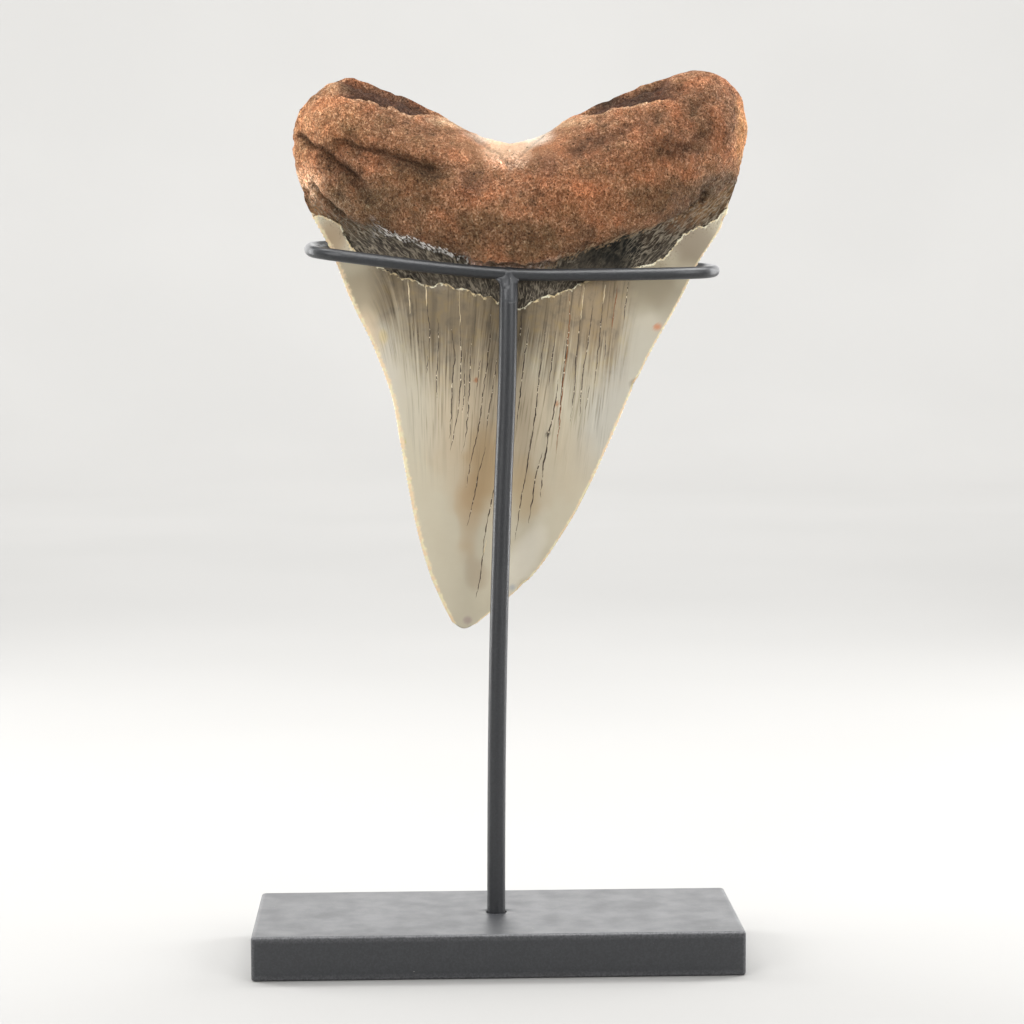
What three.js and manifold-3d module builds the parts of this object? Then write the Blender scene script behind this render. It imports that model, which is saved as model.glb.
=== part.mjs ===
// A megalodon tooth displayed in a wire ring stand.
//
// Millimetres, +Z up, -Y towards the viewer. The origin is the middle of the base's underside.
// A steel plate carries a slightly bowed round post. A closed wire ring is welded across the
// post's top, and the tooth hangs in the ring with its crown down: the thick lip of the root
// rests on the ring's front bar, and the flat back of the root leans on the rear bar.
import * as THREE from 'three'
import { RoundedBoxGeometry } from 'three/addons/geometries/RoundedBoxGeometry.js'
import { mergeGeometries, mergeVertices } from 'three/addons/utils/BufferGeometryUtils.js'
import Module from 'manifold-3d'

const wasm = await Module()
wasm.setup()

// ---------------------------------------------------------------- driving dimensions

const GAP = 0.3 // clearance between two pieces that touch

const BASE = { width: 110, depth: 45, height: 10, edge: 0.6, segments: 2 }

const POST = {
  radius: 2.08,
  sides: 20,
  steps: 14,
  seat: 7, // how deep the foot goes into the base
  weld: [3.45, 0.5, 156.1], // where the ring's wire crosses the post's axis
  // centre line of the bowed rod above the base, as [x, z]
  bow: [[0.05, 22], [0.35, 50], [0.9, 76], [1.9, 105], [2.9, 128], [3.3, 143]],
}

const RING = {
  wire: 1.4, // radius of the wire
  sides: 10,
  steps: 84,
  // centre line from the weld, as [x, y, z], anticlockwise seen from above
  route: [
    [0, 0, 0], [8, 0, -0.3], [15.4, 0.2, -0.3], [29.5, 0.9, -0.2],
    // right end
    [40.5, 2.2, 0], [45.2, 4.6, 0.2], [47.3, 8.6, 0.5], [47.6, 12.5, 0.7],
    [46.6, 17.2, 1.0], [43.4, 20.8, 1.3], [38, 22.4, 1.5],
    // rear bar
    [21.5, 22.8, 2.0], [1.5, 22.9, 2.8], [-18.5, 22.8, 4.3], [-33.5, 22.3, 6.0],
    // left end
    [-40.5, 21, 6.6], [-43.8, 17.8, 6.4], [-45, 14, 6.1], [-44.9, 10.5, 5.6],
    [-43.6, 6.4, 5.1], [-40, 3.6, 4.5],
    // front bar back to the weld
    [-31.2, 1.8, 3.3], [-16.8, 0.6, 1.5], [-6.5, 0.1, 0.5],
  ],
}

// The tooth's own frame: origin at the tip, z up the tooth, y = 0 the plane of the cutting edges
// at the ring, x to the right as the viewer sees it.
const TOOTH = {
  tip: [-7, 15, 74.1], // place of that origin on the stand
  columns: 30,
  crownRows: 20,
  bandRows: 4,
  rootRows: 14,
}

// Heights along the tooth, as a share v from tip to root edge: where the enamel ends, where the
// lip of the root begins, and where the root starts to round over to its upper edge.
const V_MARGIN = 0.6
const V_LIP = 0.68
const V_DOME = 0.8
const LIP_STEP = 0.006 // share of the height over which the lip steps back to the band

// ---------------------------------------------------------------- curves

// A smooth function y(x) through points, with the slope at each point taken from its neighbours.
function through(points) {
  const slopes = points.map((_, i) => {
    const before = points[Math.max(i - 1, 0)]
    const after = points[Math.min(i + 1, points.length - 1)]
    return (after[1] - before[1]) / (after[0] - before[0])
  })
  return (x) => {
    const i = points.findIndex((point) => x < point[0]) - 1
    if (i === -1) return points[0][1]
    if (i < 0) return points.at(-1)[1]
    const [x0, y0] = points[i]
    const [x1, y1] = points[i + 1]
    const span = x1 - x0
    const t = (x - x0) / span
    const rise = t * t * (3 - 2 * t)
    const lead = t * (1 - t) * (1 - t) * slopes[i]
    const trail = t * t * (t - 1) * slopes[i + 1]
    return y0 + (y1 - y0) * rise + span * (lead + trail)
  }
}

const mix = THREE.MathUtils.lerp
const ease = THREE.MathUtils.smoothstep

// ---------------------------------------------------------------- tooth outline

// The two cutting edges and the sides of the root lobes: x at a height z.
const leftEdge = through([
  [1.5, -2.6], [6.3, -5.0], [13.4, -8.0], [25.4, -11.2], [42.8, -14.3], [54, -16.3], [65.1, -20.4],
  [76.2, -25.6], [87.3, -30.0], [95.5, -34.4], [99.4, -36.3], [106.9, -37.8], [113.9, -38.7],
  [119.9, -37.1],
])
const rightEdge = through([
  [1.1, 3.0], [5.4, 8.4], [12, 16.0], [20.4, 22.3], [28.9, 27.5], [42.8, 34.1], [54, 39.0],
  [65.1, 44.6], [76.2, 50.8], [84.5, 55.0], [92.8, 60.3], [101, 63.3], [109.2, 65.6],
  [114.9, 66.5], [122.5, 65.0],
])

// The lines that cross the tooth from edge to edge: z at a distance x.
const tipLine = [[-2.6, 1.5], [0, 0], [3.0, 1.1]]
const marginLine = [
  [-34.4, 95.5], [-27.5, 90.9], [-17.5, 83.4], [-4, 79.3], [11.5, 74.3], [27.3, 79.9],
  [41.7, 84.2], [51.5, 90.1], [62, 97.4],
]
const lipLine = [
  [-36.4, 100.9], [-26.6, 94.5], [-15.1, 90.9], [-3.8, 87.0], [4, 84.8], [12, 84.1], [20, 84.9],
  [32.6, 88.5], [46.8, 93.8], [55.1, 97.7], [63.8, 103.4],
]
const rootLine = [
  [-37.1, 119.9], [-32.1, 124.6], [-25.5, 127.0], [-19, 124.8], [-10.2, 121.4], [-2, 117.4],
  [5.5, 113.4], [11.9, 112.3], [17.4, 113.6], [25.7, 118.1], [36.8, 123.1], [47.9, 127.2],
  [55, 128.7], [61.8, 126.3], [65, 122.5],
]

// One line across the tooth, at the share v of its height.
function crossLine(v, points) {
  const zLeft = points[0][1]
  const zRight = points.at(-1)[1]
  return { v, zLeft, zRight, height: through(points) }
}

const crossLines = [
  crossLine(0, tipLine),
  crossLine(V_MARGIN, marginLine),
  crossLine(V_LIP, lipLine),
  crossLine(1, rootLine),
]

function pointOnLine(line, u) {
  const x = mix(leftEdge(line.zLeft), rightEdge(line.zRight), u)
  return { x, z: line.height(x) }
}

// Front view of the grid: u runs from the left edge to the right edge, v from tip to root. Each
// stretch between two cross lines is blended from them and then stretched to meet both edges.
function outlinePoint(u, v) {
  const above = Math.max(1, crossLines.findIndex((line) => v <= line.v))
  const lower = crossLines[above - 1]
  const upper = crossLines[above]
  const f = (v - lower.v) / (upper.v - lower.v)
  const zLeft = mix(lower.zLeft, upper.zLeft, f)
  const zRight = mix(lower.zRight, upper.zRight, f)
  const missLeft = leftEdge(zLeft) - mix(leftEdge(lower.zLeft), leftEdge(upper.zLeft), f)
  const missRight = rightEdge(zRight) - mix(rightEdge(lower.zRight), rightEdge(upper.zRight), f)
  const low = pointOnLine(lower, u)
  const high = pointOnLine(upper, u)
  return {
    x: mix(low.x, high.x, f) + mix(missLeft, missRight, u),
    z: mix(low.z, high.z, f),
  }
}

// ---------------------------------------------------------------- tooth thickness

// The plane where front and back meet: the crown leans back a little towards the root.
const meetingPlane = through([[0, -3], [0.3, -1], [V_MARGIN, 0], [1, 0.5]])

// Greatest thickness in front of that plane. The enamel stands a little above the band between
// it and the root, and the lip of the root overhangs that band.
const frontDepth = through([
  [0, 0], [0.04, 1.5], [0.12, 3.7], [0.28, 7.2], [0.44, 10.2], [0.585, 12.5], [V_MARGIN, 12.3],
  [0.615, 12.1], [0.665, 12.3],
])
const rootDepth = through([[V_LIP, 15.9], [0.72, 17.4], [V_DOME, 18.3], [1, 17.6]])

// Greatest thickness behind it: a gently crowned, nearly flat back.
const backDepth = through([
  [0, 0], [0.04, 0.9], [0.12, 2.2], [0.28, 4.2], [0.44, 5.6], [V_MARGIN, 6.6], [V_LIP, 6.6],
  [0.84, 6.2], [1, 6],
])

// The root rounds over to its upper edge as a quarter of an ellipse.
function dome(v) {
  const share = Math.max(0, (v - V_DOME) / (1 - V_DOME))
  return Math.sqrt(Math.max(0, 1 - share * share))
}

// Share of the thickness left at a distance s from the middle, -1 to 1. The crown is a lens with
// sharp edges; the root keeps more of its thickness and has round edges.
function across(s, v, crownPower, rootPower, rootRoundness) {
  const toRoot = ease(v, V_MARGIN, V_DOME)
  const power = mix(crownPower, rootPower, toRoot)
  const roundness = mix(1, rootRoundness, toRoot)
  return Math.pow(1 - Math.pow(Math.abs(s), power), roundness)
}

function toothFront(u, v) {
  const { x, z } = outlinePoint(u, v)
  const depth = v < V_LIP ? frontDepth(v) : rootDepth(v)
  const y = meetingPlane(v) - depth * dome(v) * across(2 * u - 1, v, 2.05, 2.2, 0.6)
  return [x, y, z]
}

function toothBack(u, v) {
  const { x, z } = outlinePoint(u, v)
  const y = meetingPlane(v) + backDepth(v) * dome(v) * across(2 * u - 1, v, 2.4, 3, 0.6)
  return [x, y, z]
}

// ---------------------------------------------------------------- meshes

// A surface of two parameters sampled on a grid, facing +normal when flip is false.
function sheet(surface, us, vs, flip) {
  const positions = vs.flatMap((v) => us.flatMap((u) => surface(u, v)))
  const index = []
  for (let row = 0; row + 1 < vs.length; row += 1) {
    for (let column = 0; column + 1 < us.length; column += 1) {
      const a = row * us.length + column
      const b = a + 1
      const c = b + us.length
      const d = a + us.length
      index.push(...(flip ? [a, c, b, a, d, c] : [a, b, c, a, c, d]))
    }
  }
  const geometry = new THREE.BufferGeometry()
  geometry.setAttribute('position', new THREE.Float32BufferAttribute(positions, 3))
  geometry.setIndex(index)
  return geometry
}

function span(from, to, steps, shape = (t) => t) {
  return Array.from({ length: steps + 1 }, (_, i) => mix(from, to, shape(i / steps)))
}

function toothGeometry() {
  const closerAtEdges = (t) => 0.4 * t + 0.3 * (1 - Math.cos(Math.PI * t))
  const closerAtTop = (t) => Math.sin((Math.PI / 2) * t)
  const us = span(0, 1, TOOTH.columns, closerAtEdges)
  const vs = [
    ...span(0, V_MARGIN, TOOTH.crownRows, (t) => Math.pow(t, 1.15)).slice(0, -1),
    ...span(V_MARGIN, V_LIP - LIP_STEP, TOOTH.bandRows),
    ...span(V_LIP, 1, TOOTH.rootRows, closerAtTop),
  ]
  const front = sheet(toothFront, us, vs, false)
  const back = sheet(toothBack, us, vs, true)
  return mergeVertices(mergeGeometries([front, back]), 1e-3)
}

function solid(geometry) {
  const bare = geometry.clone()
  bare.deleteAttribute('normal')
  bare.deleteAttribute('uv')
  const merged = mergeVertices(bare, 1e-3)
  const index = merged.index.array
  return new wasm.Manifold(new wasm.Mesh({
    numProp: 3,
    vertProperties: new Float32Array(merged.attributes.position.array),
    triVerts: new Uint32Array(index),
  }))
}

function fromSolid(manifold) {
  const { vertProperties, triVerts } = manifold.getMesh()
  const geometry = new THREE.BufferGeometry()
  geometry.setAttribute('position', new THREE.BufferAttribute(vertProperties, 3))
  geometry.setIndex(new THREE.BufferAttribute(triVerts, 1))
  return geometry
}

// The plate with softly rounded edges and a blind hole for the post's foot.
function baseGeometry() {
  const { width, depth, height, edge, segments } = BASE
  const plate = new RoundedBoxGeometry(width, depth, height, segments, edge)
  plate.translate(0, 0, height / 2)
  const holeDepth = POST.seat + GAP
  const overshoot = 1
  const radius = POST.radius + GAP
  const hole = new THREE.CylinderGeometry(radius, radius, holeDepth + overshoot, 32)
  hole.rotateX(Math.PI / 2)
  hole.translate(0, 0, height - holeDepth + (holeDepth + overshoot) / 2)
  return fromSolid(solid(plate).subtract(solid(hole)))
}

function circle(radius, sides) {
  const points = Array.from({ length: sides }, (_, i) => {
    const angle = (2 * Math.PI * i) / sides
    return new THREE.Vector2(radius * Math.cos(angle), radius * Math.sin(angle))
  })
  return new THREE.Shape(points)
}

// The rod from its seat in the base up to just under the ring's wire.
function postGeometry() {
  const foot = [0, 0, BASE.height - POST.seat]
  const shoulder = [0, 0, BASE.height]
  const top = [POST.weld[0], 0, POST.weld[2] - RING.wire - GAP]
  const bow = POST.bow.map(([x, z]) => [x, 0, z])
  const points = [foot, shoulder, ...bow, top].map((point) => new THREE.Vector3(...point))
  return new THREE.ExtrudeGeometry(circle(POST.radius, POST.sides), {
    steps: POST.steps,
    extrudePath: new THREE.CatmullRomCurve3(points),
  })
}

function ringGeometry() {
  const points = RING.route.map((point) => new THREE.Vector3(...point))
  const route = new THREE.CatmullRomCurve3(points, true)
  return new THREE.TubeGeometry(route, RING.steps, RING.wire, RING.sides, true)
}

// ---------------------------------------------------------------- the object

const powderCoat = new THREE.MeshStandardMaterial({ color: 0x2c2d2f, roughness: 0.6, metalness: 0.3 })
const fossil = new THREE.MeshStandardMaterial({ color: 0x9b8468, roughness: 0.5, metalness: 0 })

function part(name, geometry, material, position = [0, 0, 0]) {
  const mesh = new THREE.Mesh(geometry, material)
  mesh.name = name
  mesh.position.set(...position)
  return mesh
}

const stand = new THREE.Group()
stand.add(part('base', baseGeometry(), powderCoat))
stand.add(part('post', postGeometry(), powderCoat))
stand.add(part('ring', ringGeometry(), powderCoat, POST.weld))

const display = new THREE.Group()
display.add(stand)
display.add(part('tooth', toothGeometry(), fossil, TOOTH.tip))

export default display
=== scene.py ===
"""A fossil shark tooth displayed in a wire ring on a steel stand.

Lengths in the classes are millimetres and are turned into metres when a mesh is made. The tooth has its
own frame: origin at the tip, x to the right, y away from the viewer, z up the tooth.
"""

import itertools
import logging
import math
from collections.abc import Sequence
from dataclasses import dataclass, field
from enum import Enum

import bmesh
import bpy
import numpy as np
from mathutils import Matrix


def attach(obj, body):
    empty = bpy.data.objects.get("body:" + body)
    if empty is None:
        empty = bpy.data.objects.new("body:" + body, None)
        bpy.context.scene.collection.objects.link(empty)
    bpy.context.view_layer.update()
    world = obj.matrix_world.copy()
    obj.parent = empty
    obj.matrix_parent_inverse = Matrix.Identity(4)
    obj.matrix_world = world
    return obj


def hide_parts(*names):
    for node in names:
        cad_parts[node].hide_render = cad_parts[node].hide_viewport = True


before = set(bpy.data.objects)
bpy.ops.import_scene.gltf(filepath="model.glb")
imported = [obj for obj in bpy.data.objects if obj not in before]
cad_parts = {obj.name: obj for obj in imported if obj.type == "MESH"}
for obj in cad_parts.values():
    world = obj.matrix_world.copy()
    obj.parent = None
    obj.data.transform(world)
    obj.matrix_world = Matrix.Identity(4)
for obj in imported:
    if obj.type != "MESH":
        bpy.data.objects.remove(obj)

log = logging.getLogger("tooth_stand")

MM = 0.001
BODY = "root"

Array = np.ndarray
Object = bpy.types.Object
Tree = bpy.types.NodeTree
Socket = bpy.types.NodeSocket
Material = bpy.types.Material
Points = tuple[tuple[float, ...], ...]
Colour = tuple[float, float, float]
Place = tuple[float, float, float]


class Slot(Enum):
    """The record's material slots."""

    TOOTH = "fossil_tooth"
    PLATE = "black_plate"
    ROD = "black_rod"
    WIRE = "black_wire"


class Vein(Enum):
    """What fills a crack in the enamel, as the index of its colour."""

    DARK = 0
    PALE = 1
    RUST = 2


# ---------------------------------------- numbers


def linear(colour: Colour) -> Array:
    """A screen colour of 0 to 255 per channel as linear values of 0 to 1."""
    share = np.array(colour) / 255
    return np.where(share <= 0.04045, share / 12.92, ((share + 0.055) / 1.055) ** 2.4)


def ease(value: Array, low: float | Array, high: float | Array) -> Array:
    """0 below low, 1 above high and 3t²−2t³ between; falling when low is above high."""
    t = np.clip((value - low) / (high - low), 0, 1)
    return t * t * (3 - 2 * t)


def mix(a: Array | float, b: Array | float, share: Array | float) -> Array:
    """a + (b − a) · share."""
    return a + (b - a) * share


def window(value: Array, start: float, full: float, fading: float, end: float) -> Array:
    """1 between full and fading, 0 before start and after end, eased on both sides."""
    return ease(value, start, full) * ease(value, end, fading)


def bell(distance: Array, width: float) -> Array:
    """exp(−(d/width)²), with d the distance."""
    return np.exp(-((distance / width) ** 2))


@dataclass(frozen=True)
class SmoothLine:
    """A smooth height y(x) through points, level beyond both ends.

    Attributes:
        points: x and y of each point, with x rising.
    """

    points: Points

    def at(self, x: Array) -> Array:
        """Cubic between two points, with the slope at a point taken from its two neighbours.

        Args:
            x: where to read the line.

        Returns:
            The heights.
        """
        xs, ys = np.array(self.points, float).T
        last = len(xs) - 1
        before = np.maximum(np.arange(last + 1) - 1, 0)
        after = np.minimum(np.arange(last + 1) + 1, last)
        slopes = (ys[after] - ys[before]) / (xs[after] - xs[before])
        x = np.clip(x, xs[0], xs[-1])
        i = np.clip(np.searchsorted(xs, x, side="right") - 1, 0, last - 1)
        span = xs[i + 1] - xs[i]
        t = (x - xs[i]) / span
        rise = t * t * (3 - 2 * t)
        lead = t * (1 - t) ** 2 * slopes[i]
        trail = t * t * (t - 1) * slopes[i + 1]
        return ys[i] + (ys[i + 1] - ys[i]) * rise + span * (lead + trail)


def hashed(cells: Array, seed: int) -> Array:
    """A fixed random number from 0 to 1 for each whole-number place.

    The three whole numbers are multiplied by large primes, combined by exclusive or and scrambled.

    Args:
        cells: whole numbers, three in the last axis.
        seed: picks another set of numbers.

    Returns:
        The numbers, without the last axis.
    """
    mask = 0xFFFFFFFF
    x, y, z = np.moveaxis(cells, -1, 0)
    h = ((x * 73856093) & mask) ^ ((y * 19349663) & mask) ^ ((z * 83492791) & mask)
    h = h ^ ((seed * 668265263) & mask)
    for _ in range(2):
        h = ((h ^ (h >> 15)) * 1274126177) & mask
    return (h ^ (h >> 13)) / mask


def noise(points: Array, size: float, seed: int) -> Array:
    """Smooth random values from −1 to 1 on a lattice of cells.

    A point gets the blend of its cell's eight corners, eased by 6t⁵−15t⁴+10t³ along each axis.

    Args:
        points: x, y, z in the last axis.
        size: edge of a cell, in the same unit.
        seed: picks another pattern.

    Returns:
        One value per point.
    """
    scaled = points / size
    cell = np.floor(scaled).astype(np.int64)
    t = scaled - cell
    eased = t**3 * (t * (6 * t - 15) + 10)
    total = np.zeros(points.shape[:-1])
    for corner in itertools.product((0, 1), repeat=3):
        weight = np.where(np.array(corner) == 1, eased, 1 - eased).prod(-1)
        total += weight * hashed(cell + np.array(corner), seed)
    return 2 * total - 1


def pits(points: Array, size: float, share: float, seed: int) -> Array:
    """Round hollows, 1 in the middle and 0 at the rim, one in some cells of a lattice.

    The depth is 1 − (d/r)², with d the distance to the nearest random centre and r 0.5 of a cell.

    Args:
        points: x, y, z in the last axis.
        size: edge of a cell.
        share: share of the cells that have a hollow.
        seed: picks another pattern.

    Returns:
        One depth per point.
    """
    scaled = points / size
    cell = np.floor(scaled).astype(np.int64)
    deepest = np.zeros(points.shape[:-1])
    for step in itertools.product((-1, 0, 1), repeat=3):
        near = cell + np.array(step)
        centre = near + np.stack([hashed(near, seed + axis) for axis in range(3)], -1)
        distance = np.linalg.norm(scaled - centre, axis=-1)
        present = hashed(near, seed + 3) < share
        deepest = np.maximum(deepest, present * (1 - (distance / 0.5) ** 2))
    return deepest


def distance_to_path(x: Array, z: Array, path: Points) -> Array:
    """Distance to the nearest stretch of a broken line: that to the foot of the perpendicular,
    held between the stretch's two ends.

    Args:
        x: first coordinate of the points.
        z: second coordinate of the points.
        path: corners of the line.

    Returns:
        The distances.
    """
    nearest = np.full(x.shape, np.inf)
    for (x0, z0), (x1, z1) in itertools.pairwise(path):
        dx, dz = x1 - x0, z1 - z0
        t = np.clip(((x - x0) * dx + (z - z0) * dz) / (dx * dx + dz * dz), 0, 1)
        nearest = np.minimum(nearest, np.hypot(x - x0 - t * dx, z - z0 - t * dz))
    return nearest


def spline(points: Points, count: int, closed: bool) -> Array:
    """Places along a centripetal Catmull-Rom curve through points.

    Each stretch is a cubic whose end slopes come from the two neighbours, weighted by the square
    roots of the distances between the points.

    Args:
        points: what the curve passes through.
        count: places wanted, evenly spaced in the curve's own parameter.
        closed: whether the last point joins the first.

    Returns:
        An array of count places.
    """
    corners = np.array(points, float)
    if closed:
        around = np.concatenate([corners[-1:], corners, corners[:2]])
    else:
        first = 2 * corners[0] - corners[1]
        last = 2 * corners[-1] - corners[-2]
        around = np.concatenate([[first], corners, [last]])
    stretches = len(around) - 3
    place = np.linspace(0, stretches, count, endpoint=not closed)
    i = np.minimum(place.astype(int), stretches - 1)
    t = (place - i)[:, None]
    a, b, c, d = (around[i + step] for step in range(4))
    ab, bc, cd = (np.sqrt(np.linalg.norm(q - p, axis=1))[:, None] for p, q in ((a, b), (b, c), (c, d)))
    leave = ((b - a) / ab - (c - a) / (ab + bc) + (c - b) / bc) * bc
    arrive = ((c - b) / bc - (d - b) / (bc + cd) + (d - c) / cd) * bc
    curve = (2 * b - 2 * c + leave + arrive) * t**3
    curve += (3 * c - 3 * b - 2 * leave - arrive) * t**2
    return curve + leave * t + b


# ---------------------------------------- meshes


def cells(
    ids: Array,
    rows: Array,
    columns: Array,
    size: tuple[int, int] = (1, 1),
    steps: tuple[int, int, int, int] = (1, 1, 1, 1),
) -> Array:
    """Faces over cells of a grid, anticlockwise from each cell's first corner.

    Each side of a face runs through the grid's points at its own step, so that a coarse cell can
    share every point of a finer neighbour.

    Args:
        ids: vertex number at each row and column.
        rows: first row of each cell.
        columns: first column of each cell.
        size: rows and columns that a cell spans.
        steps: step along the low, right, high and left side.

    Returns:
        Vertex numbers, one face per row.
    """
    tall, wide = size
    low, right, high, left = steps
    k, c = (grid.ravel() for grid in np.meshgrid(rows, columns, indexing="ij"))
    corners = [ids[k, c + i] for i in range(0, wide, low)]
    corners += [ids[k + i, c + wide] for i in range(0, tall, right)]
    corners += [ids[k + tall, c + i] for i in range(wide, 0, -high)]
    corners += [ids[k + i, c] for i in range(tall, 0, -left)]
    return np.stack(corners, axis=1)


def make_object(name: str, vertices: Array, faces: Sequence[Array]) -> Object:
    """Puts vertices and faces into a new smooth-shaded object at the origin.

    Args:
        name: the piece's name.
        vertices: places in mm.
        faces: arrays of vertex numbers; each array has its own number of corners per face.

    Returns:
        The linked object.
    """
    corners = np.concatenate([part.ravel() for part in faces])
    sizes = np.concatenate([np.full(len(part), part.shape[1]) for part in faces])
    mesh = bpy.data.meshes.new(name)
    mesh.vertices.add(len(vertices))
    mesh.vertices.foreach_set("co", (vertices * MM).astype(np.float32).ravel())
    mesh.loops.add(len(corners))
    mesh.loops.foreach_set("vertex_index", corners.astype(np.int32))
    mesh.polygons.add(len(sizes))
    mesh.polygons.foreach_set("loop_start", (np.cumsum(sizes) - sizes).astype(np.int32))
    mesh.update(calc_edges=True)
    mesh.validate()
    mesh.shade_smooth()
    piece = bpy.data.objects.new(name, mesh)
    bpy.context.scene.collection.objects.link(piece)
    return piece


def add_values(piece: Object, name: str, values: Array) -> None:
    """Stores one number or one linear colour per vertex.

    Args:
        piece: the object.
        name: the attribute's name.
        values: as many numbers as vertices, or rows of three.
    """
    if values.ndim == 1:
        layer = piece.data.attributes.new(name, "FLOAT", "POINT")
        layer.data.foreach_set("value", values.astype(np.float32))
        return
    layer = piece.data.attributes.new(name, "FLOAT_COLOR", "POINT")
    opaque = np.concatenate([values, np.ones((len(values), 1))], axis=1)
    layer.data.foreach_set("color", opaque.astype(np.float32).ravel())


def tube_faces(rows: int, columns: int, closed: bool = False) -> list[Array]:
    """Faces over a grid whose last column joins its first, facing out where columns turn left.

    Args:
        rows: points along the grid.
        columns: points round it.
        closed: whether the last row joins the first; otherwise each gets a cap.

    Returns:
        The side's faces and then the caps.
    """
    ids = np.arange(rows * columns).reshape(rows, columns)
    caps = [] if closed else [ids[:1, ::-1], ids[-1:]]
    ids = np.concatenate([ids, ids[:1]]) if closed else ids
    ids = np.concatenate([ids, ids[:, :1]], axis=1)
    return [cells(ids, np.arange(len(ids) - 1), np.arange(columns)), *caps]


def tube(path: Array, radii: Array, sides: int, upright: Place, closed: bool) -> tuple:
    """A circle carried along a path, square to it at every point.

    A point is path + r·(cos a · n + sin a · b), where b is the upright direction less its share
    along the path, n completes the three, and a goes once round.

    Args:
        path: centre line.
        radii: radius at each point of the path.
        sides: points round the circle.
        upright: a direction that the path never follows.
        closed: whether the end joins the start.

    Returns:
        Vertices and faces.
    """
    if closed:
        tangent = np.roll(path, -1, axis=0) - np.roll(path, 1, axis=0)
    else:
        tangent = np.gradient(path, axis=0)
    tangent /= np.linalg.norm(tangent, axis=1, keepdims=True)
    up = np.array(upright) - tangent * (tangent @ np.array(upright))[:, None]
    up /= np.linalg.norm(up, axis=1, keepdims=True)
    side = np.cross(up, tangent)
    angle = np.linspace(0, 2 * np.pi, sides, endpoint=False)
    spread = side[:, None] * np.cos(angle)[:, None] + up[:, None] * np.sin(angle)[:, None]
    vertices = (path[:, None] + spread * radii[:, None, None]).reshape(-1, 3)
    return vertices, tube_faces(len(path), sides, closed)


# ---------------------------------------- nodes


class Graph:
    """Adds and links the nodes of one tree."""

    def __init__(self, tree: Tree) -> None:
        """Keeps the tree."""
        self.tree = tree

    def add(self, kind: str, feeds: dict | None = None, **settings: object) -> bpy.types.Node:
        """Adds a node.

        Args:
            kind: Blender's name for the node's class.
            feeds: a value or a socket for each input, by name or number.
            settings: the node's own properties.

        Returns:
            The node.
        """
        node = self.tree.nodes.new(kind)
        for name, value in settings.items():
            setattr(node, name, value)
        for key, value in (feeds or {}).items():
            self.feed(node.inputs[key], value)
        return node

    def feed(self, socket: Socket, value: object) -> None:
        """Links an output socket to an input, or sets the input's plain value.

        Args:
            socket: the input.
            value: the output socket or the value.
        """
        if isinstance(value, Socket):
            self.tree.links.new(value, socket)
        else:
            socket.default_value = value

    def math(self, operation: str, *values: object) -> Socket:
        """One step of arithmetic on numbers or sockets."""
        return self.add("ShaderNodeMath", dict(enumerate(values)), operation=operation).outputs[0]

    def times(self, a: object, b: object) -> Socket:
        """a · b."""
        return self.math("MULTIPLY", a, b)

    def band(self, value: object, low: float, high: float, start: float = 0, end: float = 1) -> Socket:
        """Eases from start to end while the value goes from low to high."""
        feeds = {0: value, 1: low, 2: high, 3: start, 4: end}
        return self.add("ShaderNodeMapRange", feeds, interpolation_type="SMOOTHSTEP").outputs[0]

    def blend(self, share: object, a: object, b: object, mode: str = "MIX") -> Socket:
        """Mixes two colours in one of Blender's blend types; the share is that of the second."""
        settings = {"data_type": "RGBA", "blend_type": mode, "clamp_factor": True}
        return self.add("ShaderNodeMix", {0: share, 6: a, 7: b}, **settings).outputs[2]

    def tint(self, share: object, tone: object, factors: Colour) -> Socket:
        """Multiplies a colour's channels by three factors, in the share given."""
        return self.blend(share, tone, (*factors, 1.0), "MULTIPLY")

    def noise(self, vector: object, size: float, detail: float = 2, rough: float = 0.5) -> Socket:
        """Fractal noise with waves of a size in mm, about 0.5 in the middle."""
        feeds = {"Vector": vector, "Scale": 1 / size, "Detail": detail, "Roughness": rough}
        return self.add("ShaderNodeTexNoise", feeds).outputs[0]

    def stored(self, name: str) -> Socket:
        """A number stored on the vertices."""
        return self.add("ShaderNodeAttribute", attribute_name=name).outputs["Fac"]

    def stored_colour(self, name: str) -> Socket:
        """A colour or a place stored on the vertices."""
        return self.add("ShaderNodeAttribute", attribute_name=name).outputs["Color"]

    def millimetres(self) -> Socket:
        """Object coordinates in mm."""
        feeds = {0: self.add("ShaderNodeTexCoord").outputs["Object"], "Scale": 1 / MM}
        return self.add("ShaderNodeVectorMath", feeds, operation="SCALE").outputs[0]

    def stretched(self, vector: object, scale: Place) -> Socket:
        """A vector with each axis scaled on its own."""
        return self.add("ShaderNodeVectorMath", {0: vector, 1: scale}, operation="MULTIPLY").outputs[0]

    def choose(self, share: object, a: object, b: object) -> Socket:
        """Mixes two numbers."""
        return self.add("ShaderNodeMix", {0: share, 2: a, 3: b}, data_type="FLOAT").outputs[0]

    def effect(self, group: Tree, **feeds: object) -> Socket:
        """The output of a shared effect, with a value or a socket for each of its inputs."""
        return self.add("ShaderNodeGroup", feeds, node_tree=group).outputs[0]

    def shade(self, tone: object, steps: Sequence[tuple]) -> Socket:
        """Tints a colour step by step, each time where a number eases from a start to an end.

        Args:
            tone: the colour.
            steps: the number, its start and end, the share at the end, and the three factors.

        Returns:
            The colour.
        """
        for number, start, end, share, factors in steps:
            tone = self.tint(self.times(self.band(number, start, end), share), tone, factors)
        return tone

    def bump(self, height: object, strength: float, distance: float) -> Socket:
        """The normal of a surface raised by a height, at a distance in mm."""
        feeds = {"Height": height, "Strength": strength, "Distance": distance * MM}
        return self.add("ShaderNodeBump", feeds).outputs[0]


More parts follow.
